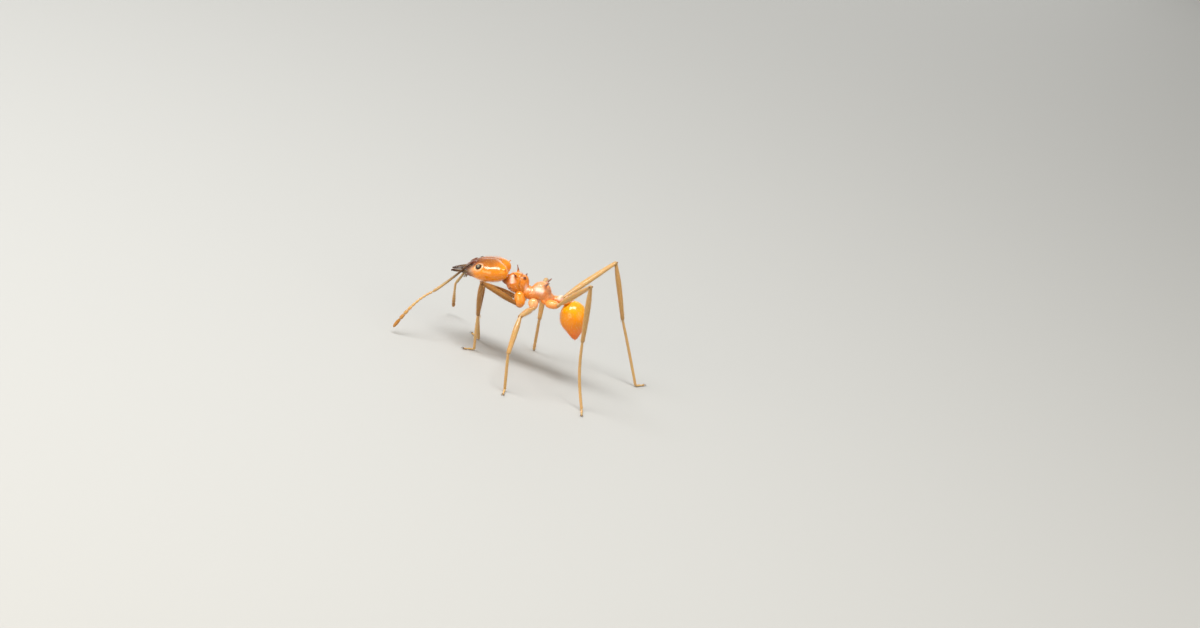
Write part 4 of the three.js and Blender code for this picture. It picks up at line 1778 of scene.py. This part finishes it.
@dataclass
class Gaster:
    """The abdomen's bulb: overlapping plates, each tucked under the one before it."""

    root: Point = (0.8, 0, 5.42)
    tip: Point = (1.84, 0, 3.02)
    half_height: float = 0.905
    half_width: float = 0.985
    cuts: tuple[float, ...] = (0.66, 0.84, 0.93)
    shoulder: float = 0.82
    fullness: float = 0.62
    rear_taper: float = 0.24
    tuck: float = 0.045  # share of the radius that each plate lies under the last
    hidden: float = 0.035  # share of the length that it reaches under the last
    rolled_edge: Rows = ((0.992, 0.003), (0.975, 0.0045), (0.955, 0.002), (0.93, -0.012), (0.9, -0.03))
    inner_ring: tuple[float, float] = (0.2, -0.032)  # shares of the radius, and of the length past the edge
    sides: int = 64
    growth: Growth = Growth(spacing=0.17, length=0.17, width=0.013, lean=52)

    def size(self, share: float) -> float:
        """The bulb's radius at a share of its length, as a share of its fullest."""
        full = math.sin(math.pi * min(max(share, 0.0), 1.0) ** self.shoulder)
        return max(full, 0.0) ** self.fullness * (1 - self.rear_taper * float(ramp(share, 0.45, 1)))

    def add_plate(self, made: Workpiece, start: float, end: float, last: bool) -> None:
        """Grows one plate with a rolled edge.

        Args:
            made: the piece it belongs to.
            start: where it shows from, as a share of the bulb's length.
            end: where its edge lies.
            last: whether it closes the tip.
        """
        under = 1.0 if start == 0 else 1 - self.tuck
        rows: list[tuple[float, float]] = []
        if start == 0:
            rows += [(0.0, 0.012)]
            steps = 44
            for i in range(1, steps + 1):
                share = end * (1 - math.cos(math.pi / 2 * i / steps))
                rows.append((share, self.size(share)))
        else:
            behind = start - self.hidden
            rows += [(behind, 0.3), (behind, self.size(start) * under * 0.9)]
            steps, lead = 14, self.hidden * 0.6
            for i in range(steps + 1):
                share = start - lead + (end - start + lead) * i / steps
                rows.append((share, self.size(share) * under))
        if last:
            rows = rows[:-1]
            steps = 8
            for i in range(1, steps + 1):
                share = end - (end - rows[-1][0]) * (1 - i / steps) ** 2
                rows.append((share, max(self.size(share) * under, 0.01)))
        else:
            edge = rows[-1][1]
            for inwards, beyond in self.rolled_edge:
                rows.append((end + beyond, edge * inwards))
            rows.append((end + self.inner_ring[1], self.inner_ring[0]))
        axis = Vector(self.tip) - Vector(self.root)
        path = [Vector(self.root) + axis * share for share, _ in rows]
        radii = [(self.half_width * r, self.half_height * r) for _, r in rows]
        count = len(rows) - 1

        def tone(step: float) -> Tone:
            """Deeper towards the tip, with a dark band inside each edge."""
            share = rows[round(step * count)][0]
            band = math.exp(-(((end - 0.012 - share) / 0.012) ** 2)) * (0.0 if last else 1.0)
            dark = 0.75 * float(ramp(share, 0.35, 0.95)) + 0.3 * band
            return dark, 0.3 * float(ramp(0.42 - share, 0, 0.35))

        made.grow(path, radii, SIDEWAYS, axis, self.sides, tone)

    def build(self) -> None:
        """Makes the three pieces."""
        edges = (0.0, *self.cuts, 1.0)
        plates = list(pairwise(edges))
        patches = []
        for name, chosen in (
            ("gaster_first_segment", plates[:1]),
            ("gaster_second_segment", plates[1:2]),
            ("gaster_tip", plates[2:]),
        ):
            made = Workpiece()
            for start, end in chosen:
                self.add_plate(made, start, end, end == 1.0)
            hand_over(made.piece(name), BULB, [name], rounding=1)
            patches.append(Patch(name, Vector(self.root), Vector(self.tip), self.growth))
        Coat("bristles_gaster", patches).build()


# ---------------------------------------------------------------- legs


class Pair(Enum):
    """The three pairs of legs."""

    FRONT = "front"
    MIDDLE = "middle"
    HIND = "hind"


@dataclass(frozen=True)
class PairSizes:
    """The measures of one pair of legs, with places given for the right side."""

    coxa_root: Point
    hip: Point
    coxa: float
    femur: float
    tibia: float
    tarsus: float
    foot: float


@dataclass(frozen=True)
class Stance:
    """How one leg is held, in degrees from straight ahead to its own side, and where its foot ends."""

    swing: float
    lift: float
    bow: float
    toe: tuple[float, float]
    heading: float
    tarsus_bow: float = 0.015  # millimetres that the tarsus stands off the straight line


PAIR_SIZES = {
    Pair.FRONT: PairSizes((-2.66, 0.34, 4.92), (-2.22, 0.62, 4.02), 0.43, 3.08, 2.38, 2.48, 0.75),
    Pair.MIDDLE: PairSizes((-1.66, 0.34, 4.76), (-1.36, 0.6, 4.22), 0.33, 3.08, 2.65, 2.4, 0.78),
    Pair.HIND: PairSizes((-0.8, 0.34, 4.74), (0.02, 0.6, 4.98), 0.33, 4.76, 3.9, 4.4, 0.85),
}
STANCES = {
    (Pair.FRONT, Side.LEFT): Stance(19, 16.5, 90, (-4.58, -1.0), 38),
    (Pair.FRONT, Side.RIGHT): Stance(25.9, -8, -90, (-4.55, 2.0), 45),
    (Pair.MIDDLE, Side.LEFT): Stance(80, 5, 80, (-1.1, -5.9), 92),
    (Pair.MIDDLE, Side.RIGHT): Stance(90, 11.5, -95, (-0.52, 4.08), 85),
    (Pair.HIND, Side.LEFT): Stance(115.5, 41.2, -46, (3.98, -4.35), 98, -0.34),
    (Pair.HIND, Side.RIGHT): Stance(127.9, 33.5, -27, (7.1, 4.68), 125),
}
SOLE_HEIGHT = 0.2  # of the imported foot's middle above the floor
FULL_REACH = 0.999


def heading(degrees: float, side: Side) -> Vector:
    """A level direction, in degrees from straight ahead towards a side."""
    return Vector((-math.cos(math.radians(degrees)), math.sin(math.radians(degrees)) * side.value, 0))


@dataclass
class Leg:
    """One leg, from the coxa under the trunk to the claws on the floor."""

    pair: Pair
    side: Side
    ring_form: LimbForm = LimbForm(
        Profile(((0, 0.1), (0.45, 0.152), (0.8, 0.135), (1, 0.09))),
        flatness=0.9,
        sides=18,
        rings=9,
    )
    femur_form: LimbForm = LimbForm(
        Profile(((0, 0.095), (0.05, 0.13), (0.3, 0.212), (0.6, 0.198), (0.9, 0.15), (1, 0.15))),
        bow=0.03,
        sides=20,
        rings=30,
    )
    tibia_form: LimbForm = LimbForm(
        Profile(((0, 0.11), (0.04, 0.106), (0.3, 0.18), (0.65, 0.172), (0.92, 0.138), (1, 0.142))),
        bow=0.03,
        sides=20,
        rings=30,
    )
    heel_profile: Profile = Profile(((0, 0.07), (0.06, 0.088), (0.5, 0.1), (0.94, 0.094), (1, 0.098)))
    foot_joint: LimbForm = LimbForm(
        Profile(((0, 0.045), (0.3, 0.058), (0.8, 0.084), (1, 0.06))),
        flatness=0.86,
        sides=14,
        rings=7,
    )
    last_joint: LimbForm = LimbForm(
        Profile(((0, 0.042), (0.5, 0.05), (0.85, 0.07), (1, 0.055))),
        flatness=0.9,
        bow=0.012,
        sides=14,
        rings=9,
    )
    knee_lobe: Point = (0.055, 0.055, 0.1)
    foot_pad: Point = (0.06, 0.05, 0.035)
    spur_radius: float = 0.03
    claw_radii: tuple[float, float] = (0.03, 0.024)
    foot_shares: tuple[float, ...] = (0.0, 0.24, 0.44, 0.6, 1.0)
    foot_height: float = 0.088
    coxa_growth: Growth = Growth(spacing=0.18, length=0.13)
    femur_growth: Growth = Growth(spacing=0.13, length=0.17, width=0.012, lean=55)
    tibia_growth: Growth = Growth(spacing=0.1, length=0.16, width=0.012, lean=55)
    tarsus_growth: Growth = Growth(spacing=0.085, length=0.1, width=0.01, lean=60)

    def __post_init__(self) -> None:
        """Finds the leg's joints from its sizes and its stance."""
        sizes, stance = PAIR_SIZES[self.pair], STANCES[self.pair, self.side]
        self.sizes = sizes
        lift = math.radians(stance.lift)
        self.root, self.hip = self.side.of(sizes.coxa_root), self.side.of(sizes.hip)
        self.knee = self.hip + heading(stance.swing, self.side) * sizes.femur * math.cos(lift)
        self.knee.z += sizes.femur * math.sin(lift)
        self.toe = Vector((*stance.toe, SOLE_HEIGHT))
        self.heel = self.toe - heading(stance.heading, self.side) * sizes.foot
        self.ankle = self.find_ankle(heading(stance.bow, self.side))
        self.heel.z = self.toe.z = self.foot_height
        self.across = (self.knee - self.hip).cross(self.ankle - self.knee).normalized()

    def find_ankle(self, way: Vector) -> Vector:
        """Where the ankle lies between knee and heel.

        Args:
            way: the direction in which it bows off the straight line.

        Returns:
            The ankle's place.
        """
        upper, lower = self.sizes.tibia, self.sizes.tarsus
        span = self.heel - self.knee
        reach = min(span.length, (upper + lower) * FULL_REACH)
        along = (upper**2 - lower**2 + reach**2) / (2 * reach)
        off = math.sqrt(max(0.0, upper**2 - along**2))
        line = span.normalized()
        bow = (way - line * way.dot(line)).normalized()
        return self.knee + line * along + bow * off

    def node(self, segment: str) -> str:
        """The name of one of the leg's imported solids."""
        return f"{segment}_{self.pair.value}_{self.side.word}"

    def base_tone(self, segment: str) -> Tone:
        """How dark and pale a segment is away from its joints.

        Args:
            segment: the segment's name.

        Returns:
            Darkness and paleness.
        """
        front = self.pair is Pair.FRONT
        coxa_pale = {Pair.FRONT: 0.05, Pair.MIDDLE: 0.4, Pair.HIND: 0.15}[self.pair]
        return {
            "coxa": (0.08, coxa_pale),
            "femur": (0.5 if front else 0.12, 0.0 if front else 0.5),
            "tibia": (0.55 if front else 0.2, 0.1 if front else 0.4),
            "tarsus": (0.1, 0.6),
        }[segment]

    def tone(self, segment: str, near: float, far: float, reach: float = 0.05) -> Callable[[float], Tone]:
        """A tone that darkens towards a segment's two joints.

        Args:
            segment: the segment's name.
            near: darkness added at its near joint.
            far: darkness added at its far joint.
            reach: the share of its length that each spreads over.

        Returns:
            The tone at a share of its length.
        """
        dark, pale = self.base_tone(segment)

        def at(share: float) -> Tone:
            """The tone at one place."""
            rim = near * math.exp(-((share / reach) ** 2)) + far * math.exp(-(((1 - share) / reach) ** 2))
            return dark + rim, pale

        return at

    def build_coxa(self) -> None:
        """Makes the stout first segment, with its ring at the body."""
        size = self.sizes.coxa
        belly = 0.55 if self.pair is Pair.FRONT else 0.45
        profile = Profile(((0, 0.7 * size), (belly, size), (1, 0.66 * size)))
        end = self.hip + (self.hip - self.root).normalized() * 0.12
        form = LimbForm(profile, flatness=0.86, sides=24, rings=16)
        made = Workpiece()
        made.limb(self.root, end, form, self.across, self.tone("coxa", 0.4, 0.35, 0.14))
        hand_over(made.piece(self.node("coxa")), AMBER, [self.node("coxa")], rounding=1)

    def build_femur(self) -> None:
        """Makes the trochanter and the long femur with its two knee lobes."""
        along = (self.knee - self.hip).normalized()
        made = Workpiece()
        tone = self.tone("femur", 0.35, 0.3, 0.2)
        made.limb(self.hip - along * 0.08, self.hip + along * 0.3, self.ring_form, self.across, tone)
        tone = self.tone("femur", 0.3, 0.6, 0.07)
        made.limb(self.hip + along * 0.24, self.knee + along * 0.1, self.femur_form, self.across, tone)
        for lobe in (-1, 1):
            at = self.knee + along * 0.02 + self.across * 0.095 * lobe
            turn = along.to_track_quat("Z", "Y").to_matrix().to_4x4()
            made.ball(at, self.knee_lobe, turn, (0.6, 0.0))
        hand_over(made.piece(self.node("femur")), STRAW, [self.node("femur")], rounding=1)

    def build_tibia(self) -> None:
        """Makes the tibia with the spur at its end."""
        along = (self.ankle - self.knee).normalized()
        inward = self.across.cross(along).normalized()
        made = Workpiece()
        tone = self.tone("tibia", 0.5, 0.6, 0.06)
        made.limb(self.knee - along * 0.1, self.ankle + along * 0.05, self.tibia_form, self.across, tone)
        spur_root = self.ankle - along * 0.06 + inward * 0.07
        length = 0.3 if self.pair is Pair.FRONT else 0.2
        steps = 5
        path, radii = [], []
        for i in range(steps + 1):
            t = i / steps
            path.append(spur_root + along * length * t + inward * 0.09 * math.sin(2.2 * t))
            radii.append((self.spur_radius * (1 - 0.75 * i / steps),) * 2)
        made.grow(path, radii, self.across, None, 8, lambda t: (0.2, 0.4))
        hand_over(made.piece(self.node("tibia")), STRAW, [self.node("tibia")], rounding=1)

    def build_tarsus(self) -> None:
        """Makes the long heel joint, the short foot joints and the pad between the claws."""
        made = Workpiece()
        tone = self.tone("tarsus", 0.5, 0.35, 0.04)
        down = (self.heel - self.ankle).normalized()
        form = LimbForm(self.heel_profile, 0.92, STANCES[self.pair, self.side].tarsus_bow, 16, 24)
        made.limb(self.ankle - down * 0.05, self.heel + down * 0.02, form, self.across, tone)
        foot = self.toe - self.heel
        level = foot.cross(WORLD_UP).normalized()
        for i, (a, b) in enumerate(pairwise(self.foot_shares)):
            last = i == len(self.foot_shares) - 2
            start, end = self.heel + foot * (a - 0.03 * (i > 0)), self.heel + foot * b
            form = self.last_joint if last else self.foot_joint
            made.limb(start, end, form, level, self.tone("tarsus", 0.35, 0.3, 0.12))
        pad = foot.to_track_quat("X", "Z").to_matrix().to_4x4()
        under = self.toe + foot.normalized() * 0.03 - WORLD_UP * 0.02
        made.ball(under, self.foot_pad, pad, (0.3, 0.4))
        hand_over(made.piece(self.node("tarsus")), STRAW, [self.node("tarsus")], rounding=1)

    def build_claws(self) -> None:
        """Makes the two curved claws."""
        foot = (self.toe - self.heel).normalized()
        level = foot.cross(WORLD_UP).normalized()
        wide, thick = self.claw_radii
        made = Workpiece()
        steps = 8
        for way in (-1, 1):
            path, radii = [], []
            for i in range(steps + 1):
                t = i / steps
                forward = foot * (0.02 + 0.17 * math.sin(1.35 * t))
                outward = level * way * (0.03 + 0.06 * math.sin(1.8 * t))
                upward = WORLD_UP * (0.01 + 0.03 * math.sin(3 * t) - 0.085 * t**2)
                path.append(self.toe + forward + outward + upward)
                radii.append((wide * (1 - 0.82 * t**1.3), thick * (1 - 0.8 * t**1.3)))
            made.grow(path, radii, level, None, 10, lambda t: (0.35 + 0.6 * t, 0.0))
        hand_over(made.piece(self.node("claws")), BROWN, [], rounding=1)

    def build(self) -> None:
        """Makes the whole leg."""
        self.build_coxa()
        self.build_femur()
        self.build_tibia()
        self.build_tarsus()
        self.build_claws()
        patches = [
            Patch(self.node("coxa"), self.root, self.hip, self.coxa_growth),
            Patch(self.node("femur"), self.hip, self.knee, self.femur_growth),
            Patch(self.node("tibia"), self.knee, self.ankle, self.tibia_growth),
            Patch(self.node("tarsus"), self.ankle, self.toe, self.tarsus_growth),
        ]
        Coat(f"bristles_leg_{self.pair.value}_{self.side.word}", patches).build()


# ---------------------------------------------------------------- studio


@dataclass
class Studio:
    """Floor, lamps and camera."""

    lens: float = 100.0
    sensor: float = 36.0
    frame_width: float = 76.8  # millimetres across the picture at the ant
    elevation: float = 20.0
    roll: float = 21.5
    aim: tuple[float, float] = (2.72, 4.97)  # across, and up in the picture plane, from the ant's origin
    floor_size: float = 6.0  # metres
    nearness: float = 1.7  # how far the ant's middle stands in front of the plane through its origin
    lit_at: Point = (-1.5, 0, 4.5)  # the place that every lamp is aimed at
    warm: Point = (1.0, 0.84, 0.62)
    floor_colour: Point = (0.45, 0.455, 0.445)
    floor_roughness: float = 0.75
    surround_colour: Point = (1.0, 0.98, 0.93)
    surround_strength: float = 0.42

    def picture_axes(self) -> tuple[Vector, Vector, Vector]:
        """The picture's right, its up and the way into it.

        Returns:
            Three unit vectors.
        """
        e, r = math.radians(self.elevation), math.radians(self.roll)
        across, upward = Vector((1, 0, 0)), Vector((0, math.sin(e), math.cos(e)))
        right = math.cos(r) * across + math.sin(r) * upward
        top = -math.sin(r) * across + math.cos(r) * upward
        return right, top, right.cross(top) * -1

    def target(self) -> Vector:
        """The point at the picture's centre, in the ant's frame."""
        e = math.radians(self.elevation)
        return Vector((self.aim[0], self.aim[1] * math.sin(e), self.aim[1] * math.cos(e)))

    def build_camera(self) -> None:
        """Places the camera and makes it the scene's."""
        right, top, into = self.picture_axes()
        distance = self.frame_width * self.lens / self.sensor + self.nearness
        data = bpy.data.cameras.new("camera")
        data.lens, data.sensor_width = self.lens, self.sensor
        data.clip_start, data.clip_end = 0.01, 20.0
        camera = new_object("camera", data)
        turn = Matrix((right, top, -into)).transposed().to_4x4()
        camera.matrix_world = Matrix.Translation(TO_METRES @ (self.target() - into * distance)) @ turn
        bpy.context.scene.camera = camera

    def add_lamp(
        self, name: str, place: Point, size: tuple[float, float], watts: float, tint: Point = WHITE
    ) -> None:
        """Hangs a soft box, aimed at the ant.

        Args:
            name: what the lamp is called.
            place: millimetres to the right of the ant, above it in the picture, and towards the camera.
            size: the box's width and height in millimetres.
            watts: its power.
            tint: its colour.
        """
        data = bpy.data.lights.new(name, "AREA")
        data.shape, data.energy, data.color = "RECTANGLE", watts, tint
        data.size, data.size_y = size[0] * MM, size[1] * MM
        lamp = new_object(name, data)
        right, top, into = self.picture_axes()
        middle = Vector(self.lit_at)
        at = middle + right * place[0] + top * place[1] - into * place[2]
        away = (at - middle).normalized()
        level = (right - away * right.dot(away)).normalized()
        turn = Matrix((level, away.cross(level), away)).transposed().to_4x4()
        lamp.matrix_world = Matrix.Translation(TO_METRES @ at) @ turn

    def build_floor(self) -> None:
        """Lays the pale floor at the level of the feet."""
        work = bmesh.new()
        bmesh.ops.create_grid(work, x_segments=1, y_segments=1, size=self.floor_size / 2)
        mesh = bpy.data.meshes.new("floor")
        work.to_mesh(mesh)
        work.free()
        floor = new_object("floor", mesh)
        material = bpy.data.materials.new("floor")
        material.use_nodes = True
        shader = material.node_tree.nodes["Principled BSDF"]
        shader.inputs["Base Color"].default_value = (*self.floor_colour, 1)
        shader.inputs["Roughness"].default_value = self.floor_roughness
        floor.data.materials.append(material)

    def build_world(self) -> None:
        """A dim, even surround, so that no side of the ant is black."""
        world = bpy.data.worlds.new("surround")
        world.use_nodes = True
        background = world.node_tree.nodes["Background"]
        background.inputs["Color"].default_value = (*self.surround_colour, 1)
        background.inputs["Strength"].default_value = self.surround_strength
        bpy.context.scene.world = world

    def build(self) -> None:
        """Builds the whole studio."""
        self.build_camera()
        self.build_floor()
        self.build_world()
        self.add_lamp("key", (-5, 153, 88), (186, 50), 0.42)
        self.add_lamp("side", (-99, 20, 148), (126, 100), 0.15, self.warm)
        self.add_lamp("fill", (170, 20, 120), (160, 160), 0.1, self.warm)
        self.add_lamp("back", (20, 110, -160), (120, 120), 0.05)
        bpy.context.scene.view_settings.view_transform = "Standard"


def main() -> None:
    """Builds the studio and the ant."""
    Studio().build()
    Head().build()
    Mouth().build()
    for side, pose in ANTENNA_POSES.items():
        Antenna(side, pose).build()
    Trunk().build()
    Waist().build()
    Gaster().build()
    for pair in Pair:
        for side in Side:
            Leg(pair, side).build()


if __name__ == "__main__":
    logging.basicConfig(level=logging.INFO, format="%(message)s")
    main()
